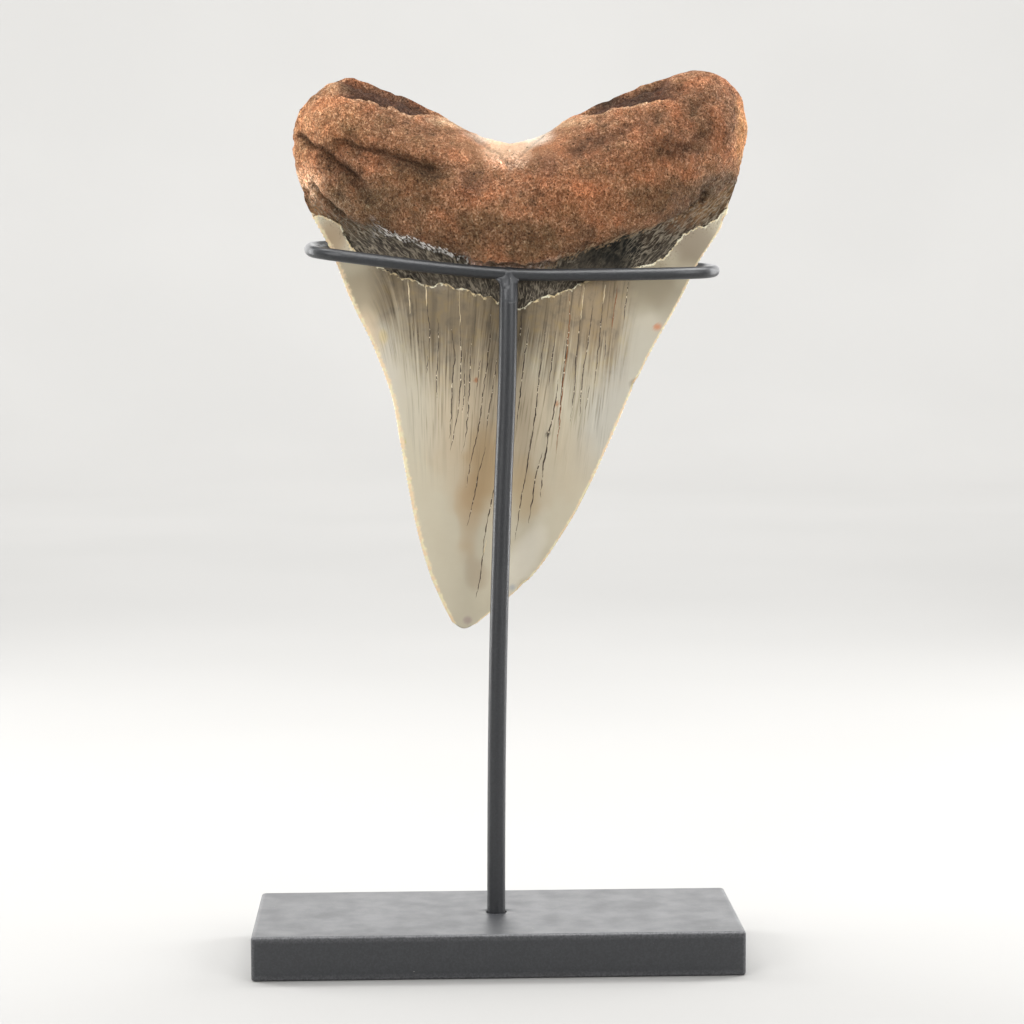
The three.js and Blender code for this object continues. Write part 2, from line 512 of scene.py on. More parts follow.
class Effects:
    """Node groups that several finishes share."""

    def __init__(self) -> None:
        """Builds the groups once."""
        self.specks = self._specks()
        self.mottle = self._mottle()
        self.threads = self._threads()

    @staticmethod
    def _start(name: str, output: str, **numbers: float) -> tuple:
        """Makes a group that takes a place and numbers and gives one number.

        Args:
            name: the group's name.
            output: its output's name.
            numbers: starting value of each number; Size is one of them.

        Returns:
            The group, its graph, its inputs, and what a texture of that size is fed.
        """
        group = bpy.data.node_groups.new(name, "ShaderNodeTree")
        group.interface.new_socket("Place", in_out="INPUT", socket_type="NodeSocketVector")
        for label, start in numbers.items():
            socket = group.interface.new_socket(label, in_out="INPUT", socket_type="NodeSocketFloat")
            socket.default_value = start
        group.interface.new_socket(output, in_out="OUTPUT", socket_type="NodeSocketFloat")
        graph = Graph(group)
        given = graph.add("NodeGroupInput").outputs
        feeds = {"Vector": given["Place"], "Scale": graph.math("DIVIDE", 1.0, given["Size"])}
        return group, graph, given, feeds

    def _specks(self) -> Tree:
        """Small round spots: 1 near the random centres of cells, in the share of cells asked for.

        Returns:
            The group.
        """
        group, graph, given, feeds = self._start("specks", "Mask", Size=1.0, Share=0.2, Radius=0.3)
        cell = graph.add("ShaderNodeTexVoronoi", feeds)
        chance = graph.add("ShaderNodeSeparateColor", {0: cell.outputs["Color"]}).outputs[0]
        chosen = graph.math("LESS_THAN", chance, given["Share"])
        depth = graph.math("DIVIDE", cell.outputs["Distance"], given["Radius"])
        graph.add("NodeGroupOutput", {0: graph.times(graph.band(depth, 1.0, 0.55), chosen)})
        return group

    def _threads(self) -> Tree:
        """Thin curly lines: 1 where smooth noise passes its middle, 0 at the given half width.

        Returns:
            The group.
        """
        group, graph, given, feeds = self._start("threads", "Mask", Size=1.0, Width=0.07, Turn=0.0)
        feeds |= {"Detail": 1.0, "Distortion": given["Turn"]}
        wave = graph.add("ShaderNodeTexNoise", feeds).outputs[0]
        away = graph.math("ABSOLUTE", graph.math("SUBTRACT", wave, 0.5))
        share = graph.math("DIVIDE", away, given["Width"])
        graph.add("NodeGroupOutput", {0: graph.band(share, 1.0, 0.25)})
        return group

    def _mottle(self) -> Tree:
        """Blotches from 0 to 1: fractal noise spread about its middle by a contrast.

        Returns:
            The group.
        """
        group, graph, given, feeds = self._start("mottle", "Value", Size=1.0, Contrast=2.0)
        feeds |= {"Detail": 3.0, "Roughness": 0.55}
        cloud = graph.add("ShaderNodeTexNoise", feeds).outputs[0]
        centred = graph.math("SUBTRACT", cloud, 0.5)
        spread = graph.math("MULTIPLY_ADD", centred, given["Contrast"], 0.5)
        graph.add("NodeGroupOutput", {0: graph.add("ShaderNodeClamp", {0: spread}).outputs[0]})
        return group


def new_material(name: str) -> tuple[Material, Graph, bpy.types.Node]:
    """A material with one Principled shader.

    Args:
        name: the finish's name.

    Returns:
        The material, its graph and the shader.
    """
    material = bpy.data.materials.new(name)
    material.use_nodes = True
    material.node_tree.nodes.clear()
    graph = Graph(material.node_tree)
    shader = graph.add("ShaderNodeBsdfPrincipled")
    graph.add("ShaderNodeOutputMaterial", {0: shader.outputs[0]})
    return material, graph, shader


def rgba(colour: Colour, factor: float = 1.0) -> tuple[float, float, float, float]:
    """A screen colour times a factor, as a linear socket value."""
    return (*linear(tuple(channel * factor for channel in colour)).tolist(), 1.0)


# ---------------------------------------- finishes


@dataclass(frozen=True)
class PowderCoat:
    """Matt black powder coat with a fine orange peel, rubbed paler on its edges.

    Attributes:
        name: the material's name.
        colour: the coat.
        worn: where it is rubbed.
        speck: dust on it.
        dust: share of small cells that hold a pale speck.
        grain: size of the orange peel, mm.
        bump: height of the orange peel, mm.
        roughness: of the coat.
    """

    name: str
    colour: Colour = (41, 42, 44)
    worn: Colour = (86, 86, 88)
    speck: Colour = (168, 164, 158)
    dust: float = 0.05
    grain: float = 0.42
    bump: float = 0.035
    roughness: float = 0.46

    def material(self, effects: Effects) -> Material:
        """Builds the finish.

        Args:
            effects: the shared node groups.

        Returns:
            The material.
        """
        material, graph, shader = new_material(self.name)
        place = graph.millimetres()
        peel = graph.noise(place, self.grain, 3, 0.6)
        blotch = graph.effect(effects.mottle, Place=place, Size=7.0, Contrast=1.6)
        specks = graph.effect(effects.specks, Place=place, Size=1.9, Share=self.dust, Radius=0.055)
        wear = graph.times(graph.stored("wear"), graph.band(peel, 0.4, 0.6, 0.35, 1.0))
        tone = graph.blend(graph.band(peel, 0.35, 0.7), rgba(self.colour), rgba(self.colour, 1.22))
        tone = graph.blend(graph.times(blotch, 0.35), tone, rgba(self.colour, 0.86))
        tone = graph.blend(wear, tone, rgba(self.worn))
        tone = graph.blend(graph.times(specks, 0.7), tone, rgba(self.speck))
        graph.feed(shader.inputs["Base Color"], tone)
        rough = graph.band(blotch, 0.0, 1.0, self.roughness - 0.05, self.roughness + 0.06)
        graph.feed(shader.inputs["Roughness"], rough)
        graph.feed(shader.inputs["Normal"], graph.bump(peel, 0.5, self.bump))
        return material


@dataclass(frozen=True)
class FossilTooth:
    """Satin enamel, dark crust below the root, and rough brown bone.

    The stored distances to the enamel's edge and to the root's lip choose between the three.

    Attributes:
        ochre: faint clouds in the enamel.
        chalk: the two tones of the enamel's broken upper edge.
        earth: dirt just below that edge.
        cutting: the two tones of the pale rim along the cutting edges, partly the thin enamel's own tone,
            partly painted glow of light through it.
        flake: pale flakes on the band.
        pitch: the band's darkest places, large and small.
        clay: the band's paler blotches.
    """

    ochre: Colour = (150, 128, 94)
    chalk: tuple[Colour, Colour] = ((228, 206, 160), (240, 232, 202))
    earth: Colour = (92, 74, 50)
    cutting: tuple[Colour, Colour] = ((234, 206, 168), (234, 222, 182))
    flake: Colour = (170, 158, 138)
    pitch: tuple[Colour, Colour] = ((30, 28, 25), (26, 23, 20))
    clay: Colour = (118, 108, 92)

    def material(self, effects: Effects) -> Material:
        """Builds the finish.

        Args:
            effects: the shared node groups.

        Returns:
            The material.
        """
        material, graph, shader = new_material("fossil_tooth")
        place = graph.millimetres()
        fray = graph.noise(place, 0.7, 3, 0.6)
        frayed = graph.math("MULTIPLY_ADD", fray, 0.8, -0.4)
        below_margin = graph.math("ADD", graph.stored("below_margin"), frayed)
        above_lip = graph.math("ADD", graph.stored("above_lip"), graph.times(frayed, 1.4))
        is_enamel = graph.band(below_margin, -0.06, 0.06)
        is_bone = graph.band(above_lip, -0.15, 0.15)

        enamel = self._enamel(graph, effects, place, below_margin)
        bone, bone_height = self._bone(graph, effects, place)
        crust, crust_height = self._crust(graph, effects)
        tone = self._lip(graph, graph.blend(is_bone, crust, bone), above_lip)
        graph.feed(shader.inputs["Base Color"], graph.blend(is_enamel, tone, enamel))

        satin = graph.band(graph.noise(place, 3.0), 0.3, 0.7, 0.42, 0.52)
        matt = graph.band(is_enamel, 0.0, 1.0, 0.78, 0.0)
        rough = graph.math("ADD", matt, graph.times(satin, is_enamel))
        graph.feed(shader.inputs["Roughness"], rough)
        graph.feed(shader.inputs["Specular IOR Level"], graph.band(is_enamel, 0.0, 1.0, 0.22, 0.5))
        rough_height = graph.choose(is_bone, crust_height, bone_height)
        skin = graph.times(graph.noise(place, 0.9, 2), 0.05)
        height = graph.choose(is_enamel, rough_height, skin)
        graph.feed(shader.inputs["Normal"], graph.bump(height, 1.0, 0.3))
        return material

    def _enamel(self, graph: Graph, effects: Effects, place: object, below_margin: object) -> Socket:
        """The enamel's colour: its stored stains, thin streaks along the tooth and pale rims, the one
        along the cutting edges partly painted glow.

        Args:
            graph: the material's graph.
            effects: the shared node groups.
            place: object coordinates in mm.
            below_margin: frayed distance below the enamel's upper edge.

        Returns:
            The colour.
        """
        flow = graph.stored_colour("flow")
        thin = graph.noise(graph.stretched(flow, (1 / 0.42, 1 / 14, 1)), 1.0, 2, 0.6)
        wide = graph.noise(graph.stretched(flow, (1 / 1.5, 1 / 22, 1)), 1.0, 2)
        ragged = graph.math("MULTIPLY_ADD", thin, 20.0, graph.math("MULTIPLY_ADD", wide, 14.0, -17.0))
        reach = graph.math("ADD", graph.stored("above_end"), ragged)
        zone = graph.times(graph.band(reach, -10.0, 12.0), graph.stored("sides"))
        streaks = graph.math("MAXIMUM", zone, graph.times(graph.stored("lower"), 0.75))
        cloud = graph.effect(effects.mottle, Place=place, Size=5.0, Contrast=1.6)
        smudge = graph.effect(effects.mottle, Place=place, Size=2.4, Contrast=2.4)
        tone = graph.blend(graph.times(cloud, 0.12), graph.stored_colour("enamel_tone"), rgba(self.ochre))
        tone = graph.blend(graph.times(zone, 0.9), tone, graph.stored_colour("streak_tone"))
        tone = graph.shade(tone, (
            (smudge, 0.5, 0.0, zone, (0.74, 0.76, 0.8)),
            (smudge, 0.5, 1.0, zone, (1.14, 1.1, 0.92)),
            (wide, 0.5, 0.7, streaks, (0.72, 0.72, 0.72)),
            (thin, 0.54, 0.68, streaks, (0.62, 0.6, 0.55)),
            (thin, 0.4, 0.27, streaks, (1.22, 1.2, 1.16)),
        ))
        crumbs = graph.noise(place, 0.5, 2, 0.6)
        crumbled = graph.times(graph.band(below_margin, 2.6, 0.3), graph.band(crumbs, 0.52, 0.68))
        tone = graph.blend(graph.times(crumbled, 0.5), tone, rgba(self.earth))
        lowered = graph.math("ADD", below_margin, 0.75)
        chewed = graph.math("MULTIPLY_ADD", graph.noise(place, 0.8, 2), -1.5, lowered)
        broken = graph.times(graph.band(chewed, 0.45, 0.15), graph.band(crumbs, 0.3, 0.5, 0.6, 0.95))
        chalky = graph.band(graph.noise(place, 2.2, 2), 0.45, 0.55)
        tone = graph.blend(broken, tone, graph.blend(chalky, *map(rgba, self.chalk)))
        # Pale rim along the cutting edges: partly the thin enamel's own paler tone, partly painted glow
        # of light through it.
        wobble = graph.math("MULTIPLY_ADD", graph.noise(place, 0.9, 2), 1.3, -0.65)
        inward = graph.math("ADD", graph.stored("edge"), wobble)
        cutting = graph.times(graph.band(inward, 1.35, 0.55), 0.9)
        varied = graph.band(graph.noise(place, 1.6, 2), 0.42, 0.58)
        return graph.blend(cutting, tone, graph.blend(varied, *map(rgba, self.cutting)))

    def _bone(self, graph: Graph, effects: Effects, place: object) -> tuple:
        """The root's colour and height: stored stains with painted light and shade, mottled, with curly
        fibres and pores.

        Args:
            graph: the material's graph.
            effects: the shared node groups.
            place: object coordinates in mm.

        Returns:
            The colour and the height.
        """
        # The stored root tone holds stains, and painted shade and light from patches, hollows, grooves,
        # ledges and the lip.
        stains = graph.stored_colour("bone_tone")
        patch = graph.effect(effects.mottle, Place=place, Size=5.5, Contrast=3.0)
        blotch = graph.effect(effects.mottle, Place=place, Size=1.7, Contrast=2.6)
        grain = graph.stretched(place, (1.0, 1.0, 0.8))
        strands = graph.effect(effects.threads, Place=grain, Size=0.95, Width=0.075, Turn=0.9)
        shifted = graph.add("ShaderNodeVectorMath", {0: grain, 1: (31.0, 17.0, 5.0)}).outputs[0]
        gaps = graph.effect(effects.threads, Place=shifted, Size=0.8, Width=0.045, Turn=0.8)
        crumbs = graph.noise(grain, 0.45, 2, 0.65)
        pores = graph.effect(effects.specks, Place=place, Size=1.5, Share=0.4, Radius=0.17)
        tone = graph.shade(stains, (
            (patch, 0.5, 0.0, 0.5, (0.55, 0.66, 0.62)),
            (patch, 0.5, 1.0, 0.5, (1.45, 1.15, 1.0)),
            (blotch, 0.5, 0.0, 0.6, (0.5, 0.48, 0.45)),
            (blotch, 0.55, 1.0, 0.6, (1.4, 1.45, 1.45)),
        ))
        tone = graph.tint(graph.times(gaps, 0.55), tone, (0.32, 0.3, 0.28))
        tone = graph.tint(graph.band(crumbs, 0.48, 0.3), tone, (0.4, 0.37, 0.34))
        tone = graph.tint(graph.times(strands, 0.85), tone, (1.75, 2.1, 2.5))
        tone = graph.tint(graph.band(crumbs, 0.55, 0.73), tone, (1.6, 1.9, 2.2))
        smooth = graph.tint(1.0, stains, (1.15, 1.3, 1.4))
        tone = graph.blend(graph.times(graph.stored("worn"), 0.85), tone, smooth)
        tone = graph.tint(graph.times(pores, 0.9), tone, (0.25, 0.22, 0.2))
        raised = graph.math("ADD", graph.times(crumbs, 2.0), graph.times(strands, 0.5))
        sunk = graph.math("ADD", graph.times(pores, 0.8), graph.times(gaps, 0.5))
        return tone, graph.math("SUBTRACT", raised, sunk)

    def _crust(self, graph: Graph, effects: Effects) -> tuple:
        """The band's colour and height: dark, with slanting strands and pale crumbs.

        Args:
            graph: the material's graph.
            effects: the shared node groups.

        Returns:
            The colour and the height.
        """
        place, slant = graph.millimetres(), graph.stored_colour("slant")
        blotch = graph.effect(effects.mottle, Place=place, Size=1.8, Contrast=2.6)
        drawn = graph.stretched(slant, (1.0, 0.3, 1.0))
        strands = graph.effect(effects.threads, Place=drawn, Size=1.1, Width=0.07, Turn=0.3)
        crumbs = graph.noise(graph.stretched(slant, (1.0, 0.6, 1.0)), 0.5, 2, 0.6)
        rough = graph.stored("roughed")
        crumbled = graph.times(graph.band(crumbs, 0.54, 0.7), graph.times(rough, 0.6))
        tone = graph.stored_colour("crust_tone")
        for share, colour in (
            (graph.times(graph.band(blotch, 0.5, 0.0), 0.55), self.pitch[0]),
            (graph.times(graph.band(blotch, 0.5, 1.0), 0.3), self.clay),
            (graph.times(strands, graph.times(rough, 0.5)), self.flake),
            (crumbled, self.flake),
            (graph.times(graph.band(crumbs, 0.46, 0.32), 0.6), self.pitch[1]),
        ):
            tone = graph.blend(share, tone, rgba(colour))
        return tone, graph.math("ADD", graph.times(strands, 0.6), graph.times(crumbs, 1.2))

    def _lip(self, graph: Graph, tone: object, above_lip: object) -> Socket:
        """Lays the flakes of the lip over the root and the band.

        Args:
            graph: the material's graph.
            tone: the colour so far.
            above_lip: frayed distance above the lip.

        Returns:
            The colour.
        """
        slant = graph.stored_colour("slant")
        broken = graph.noise(graph.stretched(slant, (1 / 0.5, 1 / 1.4, 1)), 1.0, 2, 0.6)
        near = graph.times(graph.band(above_lip, -0.9, -0.4), graph.band(above_lip, 0.9, 0.4))
        shown = graph.times(graph.times(near, graph.band(broken, 0.5, 0.55)), graph.stored("flakes"))
        return graph.blend(shown, tone, graph.stored_colour("lip_tone"))


@dataclass(frozen=True)
class VeinFilling:
    """What has filled the cracks: stored colour with small breaks in it.

    Attributes:
        fleck: the pale breaks.
        roughness: of the filling.
    """

    fleck: Colour = (226, 212, 184)
    roughness: float = 0.6

    def material(self) -> Material:
        """Builds the finish.

        Returns:
            The material.
        """
        material, graph, shader = new_material("vein_filling")
        broken = graph.band(graph.noise(graph.millimetres(), 0.9, 2), 0.6, 0.66)
        tone = graph.blend(broken, graph.stored_colour("tone"), rgba(self.fleck))
        graph.feed(shader.inputs["Base Color"], tone)
        shader.inputs["Roughness"].default_value = self.roughness
        return material


@dataclass(frozen=True)
class PaleFloor:
    """A plain pale studio surface.

    Attributes:
        colour: the surface.
        roughness: of the surface.
    """

    colour: Colour = (170, 169, 167)
    roughness: float = 0.85

    def material(self) -> Material:
        """Builds the finish.

        Returns:
            The material.
        """
        material, graph, shader = new_material("pale_floor")
        cloud = graph.band(graph.noise(graph.millimetres(), 260.0, 2), 0.3, 0.7)
        tone = graph.blend(cloud, rgba(self.colour), rgba(self.colour, 0.985))
        graph.feed(shader.inputs["Base Color"], tone)
        shader.inputs["Roughness"].default_value = self.roughness
        return material


# ---------------------------------------- the tooth


@dataclass(frozen=True)
class TonePatch:
    """A soft-edged patch of colour on the front of the tooth.

    Attributes:
        x: middle, to the right.
        z: middle, up the tooth.
        wide: half width.
        tall: half height.
        colour: the patch.
        strength: how much of it shows in the middle.
        lean: how far the top leans to the right for each mm of height.
    """

    x: float
    z: float
    wide: float
    tall: float
    colour: Colour
    strength: float
    lean: float = 0.0

    def over(self, tone: Array, x: Array, z: Array, wobble: Array) -> Array:
        """Lays the patch over a colour; it fades as 1 − d² with d the distance in half widths.

        Args:
            tone: colours so far.
            x: place of each vertex.
            z: place of each vertex.
            wobble: random values that fray the border.

        Returns:
            The new colours.
        """
        across = (x - self.x - self.lean * (z - self.z)) / self.wide
        d = np.hypot(across, (z - self.z) / self.tall) * (1 + 0.25 * wobble)
        share = self.strength * ease(1 - d * d, 0.0, 1.0)
        return mix(tone, linear(self.colour), share[:, None])


@dataclass(frozen=True)
class Groove:
    """A groove along a line on the front of the root, or a ridge where the depth is negative.

    Attributes:
        path: x and z of the line's corners.
        depth: at its middle.
        width: where the depth has fallen to a third.
    """

    path: Points
    depth: float
    width: float

    def relief(self, x: Array, z: Array) -> Array:
        """Height −depth · exp(−(d/width)²), with d the distance to the line."""
        return -self.depth * bell(self.distance(x, z), self.width)

    def distance(self, x: Array, z: Array) -> Array:
        """Distance to the line, which wavers by random steps of a few tenths of a millimetre.

        Args:
            x: place of each vertex.
            z: place of each vertex.

        Returns:
            The distances.
        """
        flat = np.stack([x, z, np.zeros_like(x)], -1)
        x = x + 0.55 * noise(flat, 2.8, 43) + 0.2 * noise(flat, 1.0, 44)
        z = z + 0.55 * noise(flat, 2.8, 45) + 0.2 * noise(flat, 1.0, 46)
        return distance_to_path(x, z, self.path)


@dataclass(frozen=True)
class Ledge:
    """A worn facet above a line: the surface steps back there.

    Attributes:
        line: the ledge's edge as x and z.
        depth: of the step.
        run: height over which it steps.
        fade: distance over which it ends at both sides.
    """

    line: Points
    depth: float
    run: float = 0.5
    fade: float = 3.0

    def share(self, x: Array, z: Array) -> Array:
        """0 below the line and 1 above, fading out beyond the line's ends."""
        return self.inside(x) * ease(self.above(x, z), 0.0, self.run)

    def inside(self, x: Array) -> Array:
        """1 between the line's ends, fading out beyond them."""
        start, end = self.line[0][0], self.line[-1][0]
        return window(x, start - self.fade, start, end, end + self.fade)

    def above(self, x: Array, z: Array) -> Array:
        """Height above the line, which wavers by a few tenths of a millimetre."""
        flat = np.stack([x, z, np.zeros_like(x)], -1)
        return z - SmoothLine(self.line).at(x) + 0.5 * noise(flat, 2.2, 47) + 0.25 * noise(flat, 0.9, 48)


@dataclass(frozen=True)
class Chip:
    """A notch in the outline.

    Attributes:
        x: middle.
        z: middle.
        depth: how far it goes in.
        reach: half its size.
    """

    x: float
    z: float
    depth: float
    reach: float

    def relief(self, x: Array, z: Array) -> Array:
        """Height −depth · exp(−(d/reach)²), with d the distance to the middle."""
        return -self.depth * bell(np.hypot(x - self.x, z - self.z), self.reach)


@dataclass(frozen=True)
class ToothForm:
    """The tooth's smooth form: a point for each place u across and v along it.

    u goes from the left edge to the right one, v from the tip to the upper edge of the root.

    Attributes:
        margin_share: v of the enamel's upper edge.
        lip_share: v of the root's lip.
        dome_share: v at which the root starts to round over.
        lip_step: span of v in which the lip steps forward.
        left_edge: x of the left edge at each height.
        right_edge: x of the right edge at each height.
        tip_line: height of the tip at each x.
        margin_line: height of the enamel's upper edge at each x.
        even_line: that edge without its corners.
        lip_line: height of the root's lip at each x.
        root_line: height of the root's upper edge at each x.
        meeting_plane: y at which front and back meet, at each v.
        front_depth: how far crown and band stand forward of that plane, at each v.
        root_depth: how far the root does.
        back_depth: how far the back stands behind it.
        crinkle: size of the small steps in the cross lines.
        crinkle_end: length over which those steps die out at both ends.
    """

    margin_share: float = 0.6
    lip_share: float = 0.68
    dome_share: float = 0.8
    lip_step: float = 0.006
    left_edge: SmoothLine = SmoothLine((
        (1.5, -2.6), (6.3, -5.0), (13.4, -8.0), (25.4, -11.2), (42.8, -14.3), (54, -16.3),
        (65.1, -20.4), (76.2, -25.6), (87.3, -30.0), (95.5, -34.4), (99.4, -36.3), (106.9, -37.8),
        (113.9, -38.7), (119.9, -37.1),
    ))
    right_edge: SmoothLine = SmoothLine((
        (1.1, 3.0), (5.4, 8.4), (12, 16.0), (20.4, 22.3), (28.9, 27.5), (42.8, 34.1), (54, 39.0),
        (65.1, 44.6), (76.2, 50.8), (84.5, 55.0), (92.8, 60.3), (101, 63.3), (109.2, 65.6),
        (114.9, 66.5), (122.5, 65.0),
    ))
    tip_line: SmoothLine = SmoothLine(((-2.6, 1.5), (0, 0), (3.0, 1.1)))
    margin_line: SmoothLine = SmoothLine((
        (-34.4, 95.5), (-30.4, 95.2), (-27.8, 93.6), (-26.4, 90.6), (-24.6, 87.6), (-21.5, 85.2),
        (-17.5, 83.1), (-12.3, 81.2), (-8.2, 79.6), (-4.3, 79.8), (0.2, 78.5), (5, 77.1),
        (8.6, 75.5), (10.6, 74.7), (12.6, 74.3), (17.4, 76.3), (23.6, 78.3), (27.3, 79.9),
        (34.5, 81.9), (41.7, 83.8), (47.3, 86.4), (51.5, 91.1), (57.6, 93.8), (62, 97.4),
    ))
    even_line: SmoothLine = SmoothLine(((-34.4, 95.5), (-20, 86), (10, 77), (40, 84), (62, 97.4)))
    lip_line: SmoothLine = SmoothLine((
        (-36.4, 100.9), (-26.6, 94.5), (-15.1, 90.9), (-3.8, 87.0), (4, 84.8), (12, 84.1),
        (20, 84.9), (32.6, 88.5), (46.8, 93.8), (55.1, 97.7), (63.8, 103.4),
    ))
    root_line: SmoothLine = SmoothLine((
        (-37.1, 119.9), (-32.1, 124.6), (-25.5, 127.0), (-19, 124.8), (-10.2, 121.4), (-2, 117.4),
        (5.5, 113.4), (11.9, 112.3), (17.4, 113.6), (25.7, 118.1), (36.8, 123.1), (47.9, 127.2),
        (55, 128.7), (61.8, 126.3), (65, 122.5),
    ))
    meeting_plane: SmoothLine = SmoothLine(((0, -3), (0.3, -1), (0.6, 0), (1, 0.5)))
    front_depth: SmoothLine = SmoothLine((
        (0, 0), (0.04, 1.5), (0.12, 3.7), (0.28, 7.2), (0.44, 10.2), (0.585, 12.5), (0.6, 12.3),
        (0.615, 12.1), (0.665, 12.3),
    ))
    root_depth: SmoothLine = SmoothLine(((0.68, 15.9), (0.72, 17.4), (0.8, 18.3), (1, 17.6)))
    back_depth: SmoothLine = SmoothLine((
        (0, 0), (0.04, 0.9), (0.12, 2.2), (0.28, 4.2), (0.44, 5.6), (0.6, 6.6), (0.68, 6.6),
        (0.84, 6.2), (1, 6),
    ))
    crinkle: float = 0.32
    crinkle_end: float = 3.0

    def cross_line(self, line: SmoothLine, x: Array) -> Array:
        """A line across the tooth with small random steps that die out at its two ends.

        Args:
            line: the smooth line.
            x: where to read it.

        Returns:
            The heights.
        """
        level = np.stack([x, np.zeros_like(x), np.zeros_like(x)], -1)
        broken = noise(level, 1.7, 5) + noise(level, 0.8, 6)
        start, end = line.points[0][0], line.points[-1][0]
        inside = window(x, start, start + self.crinkle_end, end - self.crinkle_end, end)
        return line.at(x) + self.crinkle * inside * broken

    def outline(self, u: Array, v: Array) -> tuple[Array, Array]:
        """Front view of the grid: blended between two cross lines and stretched to meet the edges.

        Args:
            u: share across.
            v: share along.

        Returns:
            x and z.
        """
        shares = np.array([0, self.margin_share, self.lip_share, 1])
        lines = (self.tip_line, self.margin_line, self.lip_line, self.root_line)
        above = np.clip(np.searchsorted(shares, v, side="left"), 1, 3)
        f = (v - shares[above - 1]) / (shares[above] - shares[above - 1])
        starts = np.array([line.points[0] for line in lines])
        ends = np.array([line.points[-1] for line in lines])
        left = self.left_edge.at(starts[:, 1])
        right = self.right_edge.at(ends[:, 1])
        xs = [mix(left[i], right[i], u) for i in range(4)]
        zs = [line.at(x) for line, x in zip(lines, xs)]
        x = mix(np.choose(above - 1, xs), np.choose(above, xs), f)
        z = mix(np.choose(above - 1, zs), np.choose(above, zs), f)
        for i, reach in ((1, 0.025), (2, 0.02)):
            near = window(v, shares[i] - reach, shares[i], shares[i], shares[i] + reach)
            z += near * (self.cross_line(lines[i], xs[i]) - zs[i])
        z_left = mix(starts[above - 1, 1], starts[above, 1], f)
        z_right = mix(ends[above - 1, 1], ends[above, 1], f)
        miss_left = self.left_edge.at(z_left) - mix(left[above - 1], left[above], f)
        miss_right = self.right_edge.at(z_right) - mix(right[above - 1], right[above], f)
        return x + mix(miss_left, miss_right, u), z

    def dome(self, v: Array) -> Array:
        """Quarter ellipse √(1 − t²) that rounds the root over to its upper edge."""
        t = np.clip((v - self.dome_share) / (1 - self.dome_share), 0, 1)
        return np.sqrt(1 - t * t)

    def across(self, u: Array, v: Array, powers: tuple[float, float]) -> Array:
        """Share of the thickness left at u: (1 − |2u−1|^p)^q, a lens in the crown and rounder above.

        Args:
            u: share across.
            v: share along.
            powers: p in the crown and in the root; q goes from 1 to 0.6.

        Returns:
            The shares.
        """
        to_root = ease(v, self.margin_share, self.dome_share)
        reach = np.abs(2 * u - 1) ** mix(powers[0], powers[1], to_root)
        return np.maximum(1 - reach, 0) ** mix(1, 0.6, to_root)

    def depth_shares(self, u: Array, v: Array, x: Array, z: Array) -> tuple:
        """Shares as the depths read them: across between the two edges at the same height, and
        along up to an even line in place of the margin, so that the margin's corners don't run
        down the enamel as creases.

        Args:
            u: share across.
            v: share along.
            x: of the outline there.
            z: of the outline there.

        Returns:
            The two shares.
        """
        tip, margin = self.tip_line.points, self.margin_line.points
        left = self.left_edge.at(z)
        across = np.clip((x - left) / (self.right_edge.at(z) - left), 0, 1)
        low = self.tip_line.at(mix(tip[0][0], tip[-1][0], across))
        top = self.even_line.at(mix(margin[0][0], margin[-1][0], across))
        along = self.margin_share * np.maximum(z - low, 0) / (top - low)
        inside = window(v, 0, 0.05, 0.56, self.margin_share)
        return mix(across, u, ease(v, self.margin_share, self.dome_share)), mix(v, along, inside)

    def front(self, u: Array, v: Array) -> Array:
        """Point on the front: the outline, set forward of the plane where front and back meet.

        Args:
            u: share across.
            v: share along.

        Returns:
            x, y, z in the last axis.
        """
        x, z = self.outline(u, v)
        over = ease(v, self.lip_share - self.lip_step, self.lip_share)
        across, along = self.depth_shares(u, v, x, z)
        depth = mix(self.front_depth.at(along), self.root_depth.at(v), over)
        y = self.meeting_plane.at(along) - depth * self.dome(v) * self.across(across, v, (2.05, 2.2))
        return np.stack([x, y, z], -1)

    def back(self, u: Array, v: Array) -> Array:
        """Point on the back, as front, but set behind the plane and flatter.

        Args:
            u: share across.
            v: share along.

        Returns:
            x, y, z in the last axis.
        """
        x, z = self.outline(u, v)
        across, along = self.depth_shares(u, v, x, z)
        depth = self.back_depth.at(along) * self.dome(v)
        y = self.meeting_plane.at(along) + depth * self.across(across, v, (2.4, 3.0))
        return np.stack([x, y, z], -1)

    def locate(self, x: Array, z: Array) -> tuple[Array, Array]:
        """Finds u and v of places on the crown by repeated steps: u by the miss in x over the
        width, v by the miss in z over the height.

        Args:
            x: to the right.
            z: up the tooth.

        Returns:
            u and v.
        """
        left, right = self.left_edge.at(z), self.right_edge.at(z)
        width, rise = right - left, self.margin_line.at(x) / self.margin_share
        u, v = (x - left) / width, z / rise
        for _ in range(30):
            x0, z0 = self.outline(u, v)
            u = np.clip(u + 0.6 * (x - x0) / width, 0.001, 0.999)
            v = np.clip(v + 0.6 * (z - z0) / rise, 0.0, self.margin_share)
        return u, v


